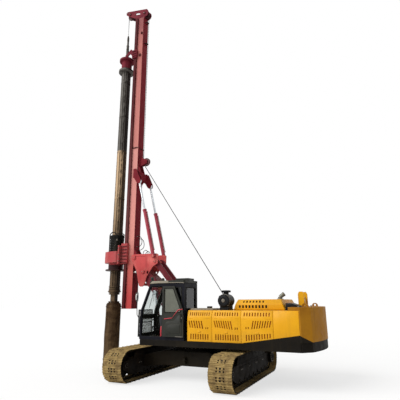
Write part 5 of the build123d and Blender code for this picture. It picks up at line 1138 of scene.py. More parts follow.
@dataclass
class Tracks:
    """Bolts, lumps of mud, chain links, wheel caps and stone guards on both tracks."""

    palette: Palette
    centre: float = 1.765
    half_straight: float = 1.91
    plate_radius: float = 0.464
    axle_height: float = 0.49
    shoes: int = 46
    link_radius: float = 0.4015
    link_side: float = 0.100
    cheek: float = 0.185
    drive_face: float = 0.29
    hub_face: float = 0.325
    rollers: int = 7
    roller_pitch: float = 0.43
    roller_height: float = 0.2313
    lumps: int = 6
    guard_gap: float = 0.158
    guard_thick: float = 0.016
    guard_outline: tuple[Flat, ...] = ((-1.5, 0.62), (-1.38, 0.855), (1.38, 0.855), (1.5, 0.62))

    def place(self, run: float, radius: float) -> Matrix:
        """Returns the place at a run along the loop, its X ahead along the loop and its Z outwards."""
        straight = 2 * self.half_straight
        arc = math.pi * self.plate_radius
        run %= 2 * (straight + arc)
        side = 1
        if run >= straight + arc:
            run -= straight + arc
            side = -1
        if run < straight:
            spot = Vector((0.0, side * (run - self.half_straight), self.axle_height - side * radius))
            ahead = Vector((0.0, side, 0.0))
        else:
            angle = -math.pi / 2 + (run - straight) / self.plate_radius
            out = Vector((0.0, side * math.cos(angle), side * math.sin(angle)))
            spot = Vector((0.0, side * self.half_straight, self.axle_height)) + out * radius
            ahead = Vector((0.0, -out.z, out.y))
        across = Vector((1.0, 0.0, 0.0))
        out = ahead.cross(across)
        turn = Matrix((ahead, across, out)).transposed().to_4x4()
        if turn.determinant() < 0:
            turn = Matrix((ahead, -across, out)).transposed().to_4x4()
        return Matrix.Translation(spot) @ turn

    @property
    def pitch(self) -> float:
        """The length of one shoe along the loop."""
        return (4 * self.half_straight + FULL_TURN * self.plate_radius) / self.shoes

    def build(self) -> None:
        """Makes every piece on both tracks."""
        for name, side in (("front", 1), ("rear", -1)):
            shift = Matrix.Translation((side * self.centre, 0.0, 0.0))
            self._shoe_trim(name, shift)
            self._links(name, shift)
            self._caps(name, side)
            self._guards(name, side)

    def _shoe_trim(self, name: str, shift: Matrix) -> None:
        """Adds the shoes' bolts, relief holes and lumps of mud."""
        draw = Random(name)
        bolts = Form()
        bolts.bolts([(step, across, -0.001) for step in (-0.037, 0.037) for across in (-0.105, 0.105)],
                    UP, 0.03)
        holes = Form()
        for step in (-0.037, 0.037):
            holes.lathe(((0.0, 0.001), (0.021, 0.001), (0.027, 0.006), (0.034, 0.0)), (step, 0.0, 0.0), Axis.Z, 14,
                        finish=1)
        trim = Form()
        spots = [shift @ self.place((index + 0.5) * self.pitch, self.plate_radius) for index in range(self.shoes)]
        trim.repeat(bolts, spots)
        trim.repeat(holes, spots)
        lump = Form()
        lump.lathe(((0.0, 0.3), (0.62, 0.22), (1.0, -0.1)), (0, 0, 0), Axis.Z, 7, finish=2)
        lumps = []
        for spot in spots:
            for _ in range(self.lumps):
                size = draw.uniform(0.018, 0.05)
                local = Matrix.Translation((draw.choice((-0.04, 0.04, 0.1)), draw.uniform(-0.31, 0.31), 0.0))
                turn = Matrix.Rotation(draw.uniform(0, FULL_TURN), 4, "Z")
                lumps.append(spot @ local @ turn @ Matrix.Diagonal((size * 0.5, size, size * 0.7, 1.0)))
        trim.repeat(lump, lumps)
        trim.piece(f"shoe_trim_{name}", "undercarriage", "track_mud", self.palette, Finish.TRACK, Finish.RUBBER,
                   Finish.MUD)

    def _links(self, name: str, shift: Matrix) -> None:
        """Adds the chain's link plates and pin ends on both of its sides."""
        half = self.pitch / 2
        link = Form()
        for way in SIDES:
            near = way * self.link_side
            far = way * (self.link_side + 0.014)
            outline = [(-half, -0.022), (half, -0.022), (half + 0.012, 0.0), (half, 0.022), (0.03, 0.026),
                       (-half, 0.022), (-half - 0.012, 0.0)]
            link.prism(outline, Axis.Y, min(near, far), max(near, far), 0.003)
            link.bar((half - 0.03, far, 0.0), (half - 0.03, far + way * 0.012, 0.0), 0.017, sides=12, bevel=0.003)
            link.bar((-half + 0.03, far, 0.0), (-half + 0.03, far + way * 0.008, 0.0), 0.014, sides=12)
        chain = Form()
        chain.repeat(link, [shift @ self.place((index + 1) * self.pitch, self.link_radius)
                            for index in range(self.shoes)])
        chain.piece(f"chain_links_{name}", "undercarriage", "track_dark", self.palette, Finish.TRACK)

    def _caps(self, name: str, side: int) -> None:
        """Adds the wheel caps and their bolts on both faces of a track frame."""
        form = Form()
        x = side * self.centre
        away = Vector((side, 0, 0))
        drive = (x + side * self.drive_face, -self.half_straight, self.axle_height)
        form.bolts(circle_spots(drive, Axis.X, 0.155, 14), away, 0.028, 1)
        hub = (x + side * self.hub_face, -self.half_straight, self.axle_height)
        form.lathe(((0.0, 0.022), (0.05, 0.018), (0.062, 0.0)), hub, away, 24)
        for way in SIDES:
            face = x + way * self.cheek
            out = Vector((way, 0, 0))
            idler = (face, self.half_straight, self.axle_height)
            form.lathe(((0.0, 0.03), (0.07, 0.028), (0.085, 0.016), (0.085, 0.0)), idler, out, 28)
            form.bolts(circle_spots((face + way * 0.016, self.half_straight, self.axle_height), Axis.X, 0.062, 6), out,
                       0.02, 1)
            for index in range(self.rollers):
                roller = (face, self.roller_pitch * (index - self.rollers // 2), self.roller_height)
                form.lathe(((0.0, 0.02), (0.03, 0.018), (0.042, 0.008), (0.042, 0.0)), roller, out, 18)
            for index in range(4):
                form.bolts([(face, -1.1 + 0.72 * index, 0.5), (face, -1.0 + 0.72 * index, 0.5)], out, 0.024, 1)
            form.box((face - 0.001, -1.25, 0.56), (face + way * 0.012, 1.25, 0.58), 0.003)
        form.piece(f"wheel_caps_{name}", "undercarriage", "track_dark", self.palette, Finish.TRACK, Finish.STEEL)

    def _guards(self, name: str, side: int) -> None:
        """Adds the stone guards that stand on a track frame's cheeks under the chain's upper run."""
        form = Form()
        for way in SIDES:
            near = side * self.centre + way * self.guard_gap
            far = near + way * self.guard_thick
            form.prism(self.guard_outline, Axis.X, min(near, far), max(near, far), 0.004)
        form.piece(f"stone_guards_{name}", "undercarriage", "track_dark", self.palette, Finish.TRACK)


@dataclass
class CentreFrame:
    """The slewing ring's bolts and the clipped pipes on the centre frame."""

    palette: Palette
    ring_height: float = 0.93
    ring_radius: float = 0.722

    def build(self) -> None:
        """Makes the ring bolts and the drive pipes."""
        form = Form()
        form.bolts(circle_spots((0, 0, self.ring_height), Axis.Z, self.ring_radius, 36), UP, 0.026, 1)
        for side in SIDES:
            for lane in (0.0, 0.045):
                pipe = smooth_path([(side * 0.6, -0.868 - lane, 0.62), (side * 0.9, -0.9 - lane, 0.66),
                                    (side * 1.2, -0.91 - lane, 0.62), (side * 1.5, -0.92 - lane, 0.52)], 8)
                form.sweep(pipe, 0.016)
            for x in (0.8, 1.3):
                form.box((side * x - 0.03, -0.975, 0.56), (side * x + 0.03, -0.885, 0.64), 0.006)
        form.piece("centre_frame_trim", "undercarriage", "frame_black", self.palette, Finish.BLACK, Finish.STEEL)


@dataclass
class SidePanels:
    """The louvred doors and plain tail panels along both sides."""

    palette: Palette
    half_width: float = 1.455
    thick: float = 0.04
    lean: float = 0.07
    bottom: float = 1.24
    crease: float = 1.94
    top: float = 2.145
    rise_start: float = -2.08
    rise_end: float = -3.76
    rise_top: float = 1.5
    stations: tuple[Flat, ...] = ((-0.333, -1.157), (-1.163, -2.077), (-2.083, -3.027), (-3.033, -3.757))
    # Finish number of the pocket floors, painted shade.
    dark: int = 1
    door_slots: tuple[tuple[SlotRow, ...], ...] = (
        (SlotRow(-0.42, -1.07, (1.3, 1.3), (1.46, 1.46), 8),
         SlotRow(-0.40, -0.90, (1.64, 1.6), (1.84, 1.84), 6, 0.05),
         SlotRow(-0.93, -1.06, (1.6, 1.6), (1.66, 1.66), 2)),
        (SlotRow(-1.25, -2.02, (1.3, 1.3), (1.465, 1.465), 10),
         SlotRow(-1.25, -1.84, (1.66, 1.6), (1.85, 1.85), 8, 0.05),
         SlotRow(-1.87, -2.0, (1.6, 1.6), (1.67, 1.67), 2)),
        (SlotRow(-2.2, -2.97, (1.3, 1.41), (1.475, 1.53), 10),
         SlotRow(-2.37, -2.96, (1.63, 1.69), (1.86, 1.87), 8, -0.05),
         SlotRow(-2.2, -2.34, (1.63, 1.63), (1.69, 1.69), 2)),
    )

    def rows(self, index: int) -> tuple[tuple[SlotRow, ...], tuple[SlotRow, ...]]:
        """Returns the rows on a panel's upright face and on its sloped face; the tail panel has none."""
        if index >= len(self.door_slots):
            return (), ()
        start, end = self.stations[index]
        sloped = SlotRow(start - 0.06, end + 0.06, (1.985, 1.985), (2.09, 2.09), 10, 0.0, 0.48)
        return self.door_slots[index], (sloped,)

    def build(self) -> None:
        """Makes both sides' panels, with latches and hinges."""
        for name, side in (("left", 1), ("right", -1)):
            form = Form()
            for index, station in enumerate(self.stations):
                form.take(self._panel(index, side, *station), None)
            made = form.piece(f"{name}_louvred_panels", "upper", "machine_yellow", self.palette, Finish.YELLOW,
                              Finish.SCREEN)
            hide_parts(f"{name}_panels")
            self._fittings(name, side)

    def _panel(self, index: int, side: int, x0: float, x1: float) -> bmesh.types.BMesh:
        """Returns one panel with its slots."""
        outer = side * self.half_width
        inner = side * (self.half_width - self.thick)
        leaned = side * (self.half_width - self.lean)
        outline = [(outer, self.bottom), (outer, self.crease), (leaned, self.top),
                   (leaned - side * self.thick, self.top), (inner, self.crease - 0.008), (inner, self.bottom)]
        part = Form.carried(outline, Axis.X, x1, x0)
        slope = (self.rise_top - self.bottom) / (self.rise_end - self.rise_start)
        if x1 < self.rise_start:
            Form.trim(part, (self.rise_start, 0, self.bottom), Vector((slope, 0, -1)))
        Form.soften(part, 0.006)
        sheet = SlottedSheet(part)
        upright, sloped = self.rows(index)
        for row in upright:
            sheet.slot(row, outwards(side), self.dark)
        for row in sloped:
            sheet.slot(row, Vector((0, side * (self.top - self.crease), self.lean)).normalized(), self.dark)
        return part

    def _fittings(self, name: str, side: int) -> None:
        """Adds latches and hinges to the doors."""
        form = Form()
        for x0, x1 in self.stations[:len(self.door_slots)]:
            y = side * self.half_width
            middle = (x0 + x1) / 2
            form.box((middle - 0.05, y - side * 0.002, 1.495), (middle + 0.05, y + side * 0.006, 1.555), 0.002)
            form.box((middle - 0.035, y, 1.505), (middle + 0.035, y + side * 0.012, 1.535), 0.004)
            for x in (x0 - 0.12, x1 + 0.12):
                form.bar((x - 0.05, y - side * 0.002, 1.915), (x + 0.05, y - side * 0.002, 1.915), 0.009, sides=10)
        form.piece(f"{name}_panel_fittings", "upper", "machine_yellow", self.palette, Finish.YELLOW)


@dataclass
class EngineHood:
    """The raised hood with its vent slots, and what stands on the covers beside it."""

    palette: Palette
    front: float = -1.66
    rear: float = -3.28
    half: float = 0.9
    foot: float = 2.145
    shoulder: float = 2.325
    top: float = 2.465
    inset: float = 0.11
    front_slope: float = 0.115
    rear_slope: float = 0.13

    def build(self) -> None:
        """Makes the hood, the box cover behind it and the walkway."""
        outline = [(-self.half, self.foot), (-self.half, self.shoulder), (-self.half + self.inset, self.top),
                   (self.half - self.inset, self.top), (self.half, self.shoulder), (self.half, self.foot)]
        part = Form.carried(outline, Axis.X, self.rear, self.front)
        rise = self.top - self.foot
        for x, normal in ((self.front, (rise, 0, self.front_slope)), (self.rear, (-rise, 0, self.rear_slope))):
            Form.trim(part, (x, 0, self.foot), Vector(normal))
        Form.soften(part, 0.03, 3)
        # The vent pockets are floored in the black rubber finish: painted shade of the bay behind the slots.
        sheet = SlottedSheet(part, 0.024, 0.003)
        chamfer = Vector((0, self.top - self.shoulder, self.inset)).normalized()
        for side in SIDES:
            lower = SlotRow(-1.82, -2.76, (2.205, 2.205), (2.3, 2.3), 9, share=0.58)
            upper = SlotRow(-1.94, -2.66, (2.366, 2.366), (2.428, 2.428), 7, share=0.5)
            sheet.slot(lower, outwards(side), 1)
            sheet.slot(upper, Vector((0, side * chamfer.y, chamfer.z)), 1)
        form = Form()
        form.take(part, None)
        made = form.piece("vented_hood", "upper", "machine_yellow", self.palette, Finish.YELLOW, Finish.RUBBER)
        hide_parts("engine_hood")
        self._top_fittings()

    def _top_fittings(self) -> None:
        """Adds the walkway grating, the cover of the box behind the hood and the cover bolts."""
        form = Form()
        for index in range(11):
            y = 0.56 + 0.072 * index
            form.box((-1.14, y, self.foot), (-0.36, y + 0.012, self.foot + 0.055), 0.002)
        for index in range(7):
            x = -1.14 + 0.128 * index
            form.box((x, 0.56, self.foot + 0.03), (x + 0.012, 1.292, self.foot + 0.05), 0.002)
        form.piece("walkway_grating", "upper", "frame_black", self.palette, Finish.ROOF)
        form = Form()
        form.prism([(-3.296, 2.147), (-3.296, 2.352), (-3.45, 2.35), (-3.71, 2.262), (-3.71, 2.243), (-3.448, 2.243),
                    (-3.448, 2.147)], Axis.Y, 0.345, 0.885, 0.006)
        form.piece("tail_box_cover", "upper", "frame_black", self.palette, Finish.CANISTER)
        form = Form()
        spots = [(x, side * 1.31, self.foot) for x in (-1.9, -2.3, -2.7, -3.1) for side in SIDES]
        form.bolts(spots, UP, 0.022)
        form.piece("cover_bolts", "upper", "machine_yellow", self.palette, Finish.YELLOW)


@dataclass
class Counterweight:
    """Plugs on the counterweight's top and the pad of the mast rest."""

    palette: Palette
    top: float = 2.24

    def build(self) -> None:
        """Makes the plugs and the rest pad."""
        form = Form()
        form.bolts([(-3.7, side * y, self.top) for side in SIDES for y in (0.5, 1.1)], UP, 0.05)
        form.piece("counterweight_plugs", "upper", "frame_black", self.palette, Finish.STEEL)
        form = Form()
        form.box((-3.695, -0.27, 2.499), (-3.605, 0.27, 2.512), 0.004)
        form.piece("mast_rest_trim", "upper", "buffer_rubber", self.palette, Finish.RUBBER)


@dataclass
class DeckPlant:
    """Canister trim, exhaust rim, tank fittings, rope on the winch drum and valves by the boom's foot."""

    palette: Palette
    canister: Flat = (-1.42, 2.43)
    drum: Flat = (-1.25, 1.8)
    rope_radius: float = 0.014
    drum_radius: float = 0.2
    drum_half: float = 0.33
    rope_turns: int = 22

    def build(self) -> None:
        """Makes the plant on the deck."""
        self._canister()
        self._tanks()
        self._drum_rope()
        self._valves()

    def _canister(self) -> None:
        """Adds bands, clips, a dished end and a pre-cleaner bowl to the air cleaner."""
        form = Form()
        x, z = self.canister
        for y in (0.7, 1.06):
            form.ring((x, y, z), Axis.Y, 0.194, 0.009, finish=1)
        form.lathe(((0.188, 0.0), (0.16, 0.024), (0.1, 0.032), (0.086, 0.02), (0.0, 0.02)), (x, 1.12, z), Axis.Y, 36)
        form.lathe(((0.0, 0.045), (0.05, 0.04), (0.06, 0.022)), (x, 1.12, z), Axis.Y, 20, finish=1)
        for index in range(4):
            angle = FULL_TURN * (index + 0.5) / 4
            spot = Vector((x + 0.197 * math.cos(angle), 1.09, z + 0.197 * math.sin(angle)))
            form.box(tuple(spot - Vector((0.012, 0.03, 0.012))), tuple(spot + Vector((0.012, 0.03, 0.012))), 0.003, 1)
        form.lathe(((0.142, 0.0), (0.152, 0.01), (0.152, 0.05), (0.1, 0.062), (0.0, 0.066)), (x, 0.88, 2.686),
                   Axis.Z, 32)
        form.piece("air_cleaner_trim", "upper", "canister_black", self.palette, Finish.CANISTER, Finish.STEEL)
        form = Form()
        form.lathe(((0.061, -0.02), (0.066, 0.0), (0.066, 0.03), (0.05, 0.03), (0.048, -0.06)), (-3.16, 0.5, 2.61),
                   Vector((-0.81, 0, 0.59)), 28, True)
        form.piece("exhaust_rim", "upper", "pipe_grey", self.palette, Finish.PIPE)

    def _tanks(self) -> None:
        """Adds filler caps and step treads to the tanks."""
        form = Form()
        form.lathe(((0.092, 0.0), (0.1, 0.012), (0.1, 0.05), (0.085, 0.06), (0.0, 0.06)), (-0.02, -1.0, 2.18),
                   Axis.Z, 28)
        form.lathe(((0.07, 0.0), (0.07, 0.04), (0.06, 0.055), (0.0, 0.055)), (0.6, -1.1, 2.118), Axis.Z, 24)
        for x in (0.97, 1.1, 1.23):
            form.box((x, -1.42, 1.655), (x + 0.02, -0.56, 1.69), 0.003)
        form.piece("tank_fittings", "upper", "frame_black", self.palette, Finish.BLACK)

    def _drum_rope(self) -> None:
        """Winds the rope on the drum."""
        form = Form()
        x, z = self.drum
        pitch = 2 * self.drum_half / self.rope_turns
        for index in range(self.rope_turns):
            y = -self.drum_half + pitch * (index + 0.5)
            form.ring((x, y, z), Axis.Y, self.drum_radius + self.rope_radius, self.rope_radius, 36)
        form.piece("drum_rope", "winch_drum", "kelly_steel", self.palette, Finish.ROPE)
        form = Form()
        for side in SIDES:
            form.bolts(circle_spots((x, side * 0.37, z), Axis.Y, 0.26, 12), outwards(side), 0.026)
        form.piece("drum_bolts", "winch_drum", "track_dark", self.palette, Finish.STEEL)

    def _valves(self) -> None:
        """Adds a valve bank with clipped pipes on both sides of the boom's foot."""
        form = Form()
        for side in SIDES:
            y = side * 0.41
            form.box((-0.9, y - 0.07, 1.24), (-0.5, y + 0.07, 1.42), 0.008)
            for index in range(5):
                x = -0.87 + 0.08 * index
                form.bar((x, y, 1.41), (x, y, 1.5), 0.026, sides=12, bevel=0.004, finish=1)
                form.bar((x, y, 1.5), (x, y, 1.53), 0.02, sides=6, finish=1)
            for lane in (-0.03, 0.03):
                pipe = smooth_path([(-0.5, y + lane, 1.33), (-0.3, y + lane, 1.33), (0.2, y + lane, 1.3),
                                    (0.7, y + lane, 1.28), (1.05, y + lane, 1.28)], 8)
                form.sweep(pipe, 0.015, 8, finish=1)
        form.piece("valve_banks", "upper", "engine", self.palette, Finish.ENGINE, Finish.STEEL)


@dataclass
class Cab:
    """Window seals, guard mesh, lamps, roof trim, seat and small things in the cab."""

    palette: Palette
    left: float = 1.455
    right: float = 0.5
    rear: float = -0.22
    roof: float = 3.08
    guard: float = 1.515
    mesh_low: float = 1.32
    mesh_high: float = 2.15
    mesh_margin: float = 0.02
    mesh_pitch: float = 0.035
    mesh_wires: int = 22
    mesh_rows: int = 9
    seal_corner: float = 0.075

    def build(self) -> None:
        """Makes the cab's pieces."""
        self._seals()
        self._roof_trim()
        self._mirror()
        self._inside()
        self._door()
        self._mesh()

    def _mesh(self) -> None:
        """Adds the wire mesh behind the front guard's bars."""
        form = Form()
        x = self.guard
        for index in range(self.mesh_wires):
            y = 0.61 + self.mesh_pitch * index
            form.bar((x, y, self.mesh_low), (x, y, self.mesh_high), 0.005, sides=6)
        tall = self.mesh_high - self.mesh_low - 2 * self.mesh_margin
        for index in range(self.mesh_rows):
            z = self.mesh_low + self.mesh_margin + tall * index / (self.mesh_rows - 1)
            form.bar((x, 0.6, z), (x, 1.355, z), 0.006, sides=6)
        form.piece("guard_mesh", "upper", "cab_black", self.palette, Finish.ROOF)

    def seal(self, form: Form, outline: Sequence[Point], radius: float) -> None:
        """Adds a rubber seal round a window's corners."""
        corners = [Vector(point) for point in outline]
        loop: list[Point] = []
        for index, corner in enumerate(corners):
            for other in (corners[index - 1], corners[(index + 1) % len(corners)]):
                loop.append(tuple(corner + (other - corner).normalized() * self.seal_corner))
            loop.insert(-1, tuple(corner))
        start = (Vector(loop[-1]) + Vector(loop[0])) / 2
        form.sweep(smooth_path([tuple(start), *loop, tuple(start)], 6), radius, 6)

    def _seals(self) -> None:
        """Adds the fixed windows' seals, the wiper and a grab rail."""
        form = Form()
        y = self.left - 0.002
        self.seal(form, [(-0.13, y, 2.05), (-0.13, y, 2.85), (0.43, y, 2.85), (0.43, y, 2.05)], 0.014)
        y = self.right + 0.002
        self.seal(form, [(-0.13, y, 1.95), (-0.13, y, 2.85), (1.0, y, 2.85), (1.275, y, 2.15), (1.32, y, 1.95)], 0.014)
        x = self.rear + 0.002
        self.seal(form, [(x, 0.64, 2.05), (x, 0.64, 2.85), (x, 1.315, 2.85), (x, 1.315, 2.05)], 0.014)
        form.bar((1.40, 0.95, 2.2), (1.22, 1.02, 2.68), 0.008, sides=8)
        form.bar((1.31, 0.85, 2.42), (1.12, 1.15, 2.9), 0.006, sides=6)
        grab = smooth_path([(1.375, 1.455, 1.6), (1.385, 1.492, 1.62), (1.385, 1.495, 1.8), (1.385, 1.492, 1.98),
                            (1.375, 1.455, 2.0)], 8)
        form.sweep(grab, 0.012, 8)
        form.piece("cab_seals", "upper", "buffer_rubber", self.palette, Finish.RUBBER)

    def _roof_trim(self) -> None:
        """Adds work lamps, the rain gutter and the dusty strip over the doorway."""
        form = Form()
        for y in (0.62, 1.33):
            form.box((1.02, y - 0.06, self.roof - 0.002), (1.07, y + 0.06, self.roof + 0.03), 0.006)
            form.bar((1.03, y, self.roof + 0.085), (1.09, y, self.roof + 0.08), 0.055, 0.062, 24, 0.006)
            form.bar((1.088, y, self.roof + 0.08), (1.094, y, self.roof + 0.08), 0.052, sides=24, finish=1)
        gutter = smooth_path([(1.06, 1.462, 2.992), (0.95, 1.468, 3.004), (0.3, 1.47, 3.006), (-0.1, 1.468, 3.004),
                              (-0.21, 1.462, 2.99)], 8)
        form.sweep(gutter, 0.012, 8, finish=2)
        form.prism([(0.36, 3.0), (1.05, 3.0), (0.98, 3.066), (0.36, 3.072)], Axis.Y, 1.468, 1.476, 0.003, 2)
        form.piece("roof_trim", "upper", "cab_black", self.palette, Finish.CAB, Finish.LENS, Finish.ROOF)

    def _mirror(self) -> None:
        """Adds the pale mirror shell with its glass over the mirror's arm."""
        form = Form()
        middle = (1.38, 2.57)
        form.prism(oval(middle, 0.052, 0.155, 20), Axis.X, 1.588, 1.642, 0.016)
        form.prism(oval(middle, 0.042, 0.14, 20), Axis.X, 1.584, 1.59, 0.0, 1)
        form.piece("mirror_shell", "upper", "console_plastic", self.palette, Finish.PALE, Finish.LENS)

    def _inside(self) -> None:
        """Adds the seat, the extinguisher, the pedals and the levers' boots."""
        form = Form()
        form.lathe(((0.0, 0.0), (0.055, 0.0), (0.062, 0.02), (0.062, 0.3), (0.045, 0.345), (0.022, 0.36), (0.022, 0.39),
                    (0.0, 0.39)), (0.63, 1.345, 1.302), Axis.Z, 24)
        form.box((0.6, 1.325, 1.67), (0.66, 1.365, 1.705), 0.005, 1)
        form.piece("extinguisher", "upper", "mast_red", self.palette, Finish.TRIM_RED, Finish.PLASTIC)
        form = Form()
        for y in (0.9, 1.06):
            form.box((1.1, y - 0.045, 1.3), (1.3, y + 0.045, 1.325), 0.006)
            form.bar((1.2, y, 1.32), (1.16, y, 1.62), 0.012, sides=10)
            form.bar((1.16, y - 0.045, 1.62), (1.16, y + 0.045, 1.62), 0.014, sides=10)
        for low, high in ((0.58, 0.72), (1.24, 1.37)):
            middle = (low + high) / 2
            form.lathe(((0.055, 0.0), (0.05, 0.02), (0.036, 0.03), (0.034, 0.045), (0.024, 0.055), (0.02, 0.08)),
                       (0.65, middle, 1.945), Axis.Z, 16)
            form.box((0.25, low + 0.01, 1.905), (0.52, high - 0.01, 1.955), 0.02)
        form.piece("cab_controls", "upper", "console_plastic", self.palette, Finish.PLASTIC)
        Seat(self.palette).build()

    def _door(self) -> None:
        """Adds the open door's trim panel, red trim line, latch, seal and sill strip."""
        form = Form()
        y = 1.545
        panel = [(0.42, 1.4), (0.42, 1.7), (0.36, 1.8), (0.1, 1.83), (-0.06, 1.99), (-0.17, 2.0), (-0.185, 1.4)]
        form.prism(panel, Axis.Y, y - 0.004, y + 0.012, 0.008)
        pocket = [(0.34, 1.46), (0.34, 1.66), (0.22, 1.72), (-0.12, 1.72), (-0.12, 1.46)]
        form.prism(pocket, Axis.Y, y + 0.01, y + 0.022, 0.008)
        form.box((-0.2, y - 0.004, 1.885), (-0.155, y + 0.02, 1.935), 0.006, 2)
        line = [(0.45, 1.868), (0.45, 1.894), (0.152, 1.928), (-0.045, 2.168), (-0.21, 2.192), (-0.21, 2.166),
                (-0.058, 2.142), (0.168, 1.902)]
        form.prism(line, Axis.Y, y - 0.004, y + 0.014, 0.003, 1)
        form.box((-0.225, y - 0.002, 1.352), (0.05, y + 0.006, 1.368), 0.002, 2)
        form.piece("door_trim", "cab_door", "console_plastic", self.palette, Finish.CAB, Finish.TRIM_RED, Finish.STEEL)
        form = Form()
        light = [(0.46, y, 2.08), (0.46, y, 2.825), (0.135, y, 2.825), (-0.125, y, 2.19), (-0.142, y, 2.08)]
        self.seal(form, light, 0.013)
        form.piece("door_window_seal", "cab_door", "buffer_rubber", self.palette, Finish.RUBBER)


@dataclass
class Seat:
    """The operator's seat: two crowned cushions and a headrest on a sprung pedestal."""

    palette: Palette
    middle: float = 0.98
    crown: float = 0.28
    pull: float = 0.035
    groove: float = 0.86
    lean: float = math.radians(-9)

    def build(self) -> None:
        """Makes the pedestal and the cushions."""
        form = Form()
        form.box((0.24, 0.82, 1.3), (0.6, 1.14, 1.36), 0.015)
        for index in range(5):
            z = 1.36 + 0.045 * index
            form.box((0.27 + 0.012 * (index % 2), 0.84, z), (0.57 - 0.012 * (index % 2), 1.12, z + 0.045), 0.018)
        form.box((0.2, 0.78, 1.585), (0.66, 1.18, 1.64), 0.02)
        for side in SIDES:
            y = self.middle + side * 0.262
            form.box((0.2, y - 0.02, 1.9), (0.5, y + 0.02, 1.935), 0.012)
            form.bar((0.2, y, 1.66), (0.2, y, 1.92), 0.014, sides=10)
        made = form.piece("seat_pedestal", "upper", "seat_fabric", self.palette, Finish.PLASTIC)
        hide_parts("cab_seat")
        base = Matrix.Translation((0.43, self.middle, 1.7))
        self._cushion("seat_base_pad", base, (0.52, 0.46, 0.11))
        back = Matrix.Translation((0.165, self.middle, 2.01)) @ Matrix.Rotation(self.lean, 4, "Y")
        self._cushion("seat_back_pad", back, (0.1, 0.44, 0.56))
        head = Matrix.Translation((0.105, self.middle, 2.36)) @ Matrix.Rotation(self.lean, 4, "Y")
        self._cushion("seat_head_pad", head, (0.08, 0.26, 0.12))

    def _cushion(self, name: str, place: Matrix, size: Point) -> None:
        """Makes one crowned pad with a sewn border.

        Args:
            name: The piece's name.
            place: Where its middle lies.
            size: Its size along its own axes.
        """
        part = bmesh.new()
        bmesh.ops.create_cube(part, size=1.0)
        bmesh.ops.subdivide_edges(part, edges=part.edges, cuts=5, use_grid_fill=True)
        thin = size.index(min(size))
        wide = [axis for axis in range(3) if axis != thin]
        for vert in part.verts:
            first, second = (vert.co[axis] * 2 for axis in wide)
            swell = (1 - first * first) * (1 - second * second)
            vert.co[thin] *= 1 - self.crown * (1 - swell)
            for axis, other in zip(wide, (second, first)):
                vert.co[axis] *= 1 - self.pull * (1 - other * other)
        bmesh.ops.scale(part, vec=size, verts=part.verts)
        channel = [edge for edge in part.edges
                   if all(abs(abs(vert.co[wide[1]]) - size[wide[1]] / 6) < 1e-3 for vert in edge.verts)
                   and all(abs(vert.co[thin]) > size[thin] * 0.3 for vert in edge.verts)]
        grooved = {vert for edge in channel for vert in edge.verts}
        for vert in grooved:
            vert.co[thin] *= self.groove
        form = Form()
        form.take(part, 0, place)
        made = form.piece(name, "upper", "seat_fabric", self.palette, Finish.FABRIC)
        smooth = made.modifiers.new("rounding", "SUBSURF")
        smooth.levels = 2
        smooth.render_levels = 2


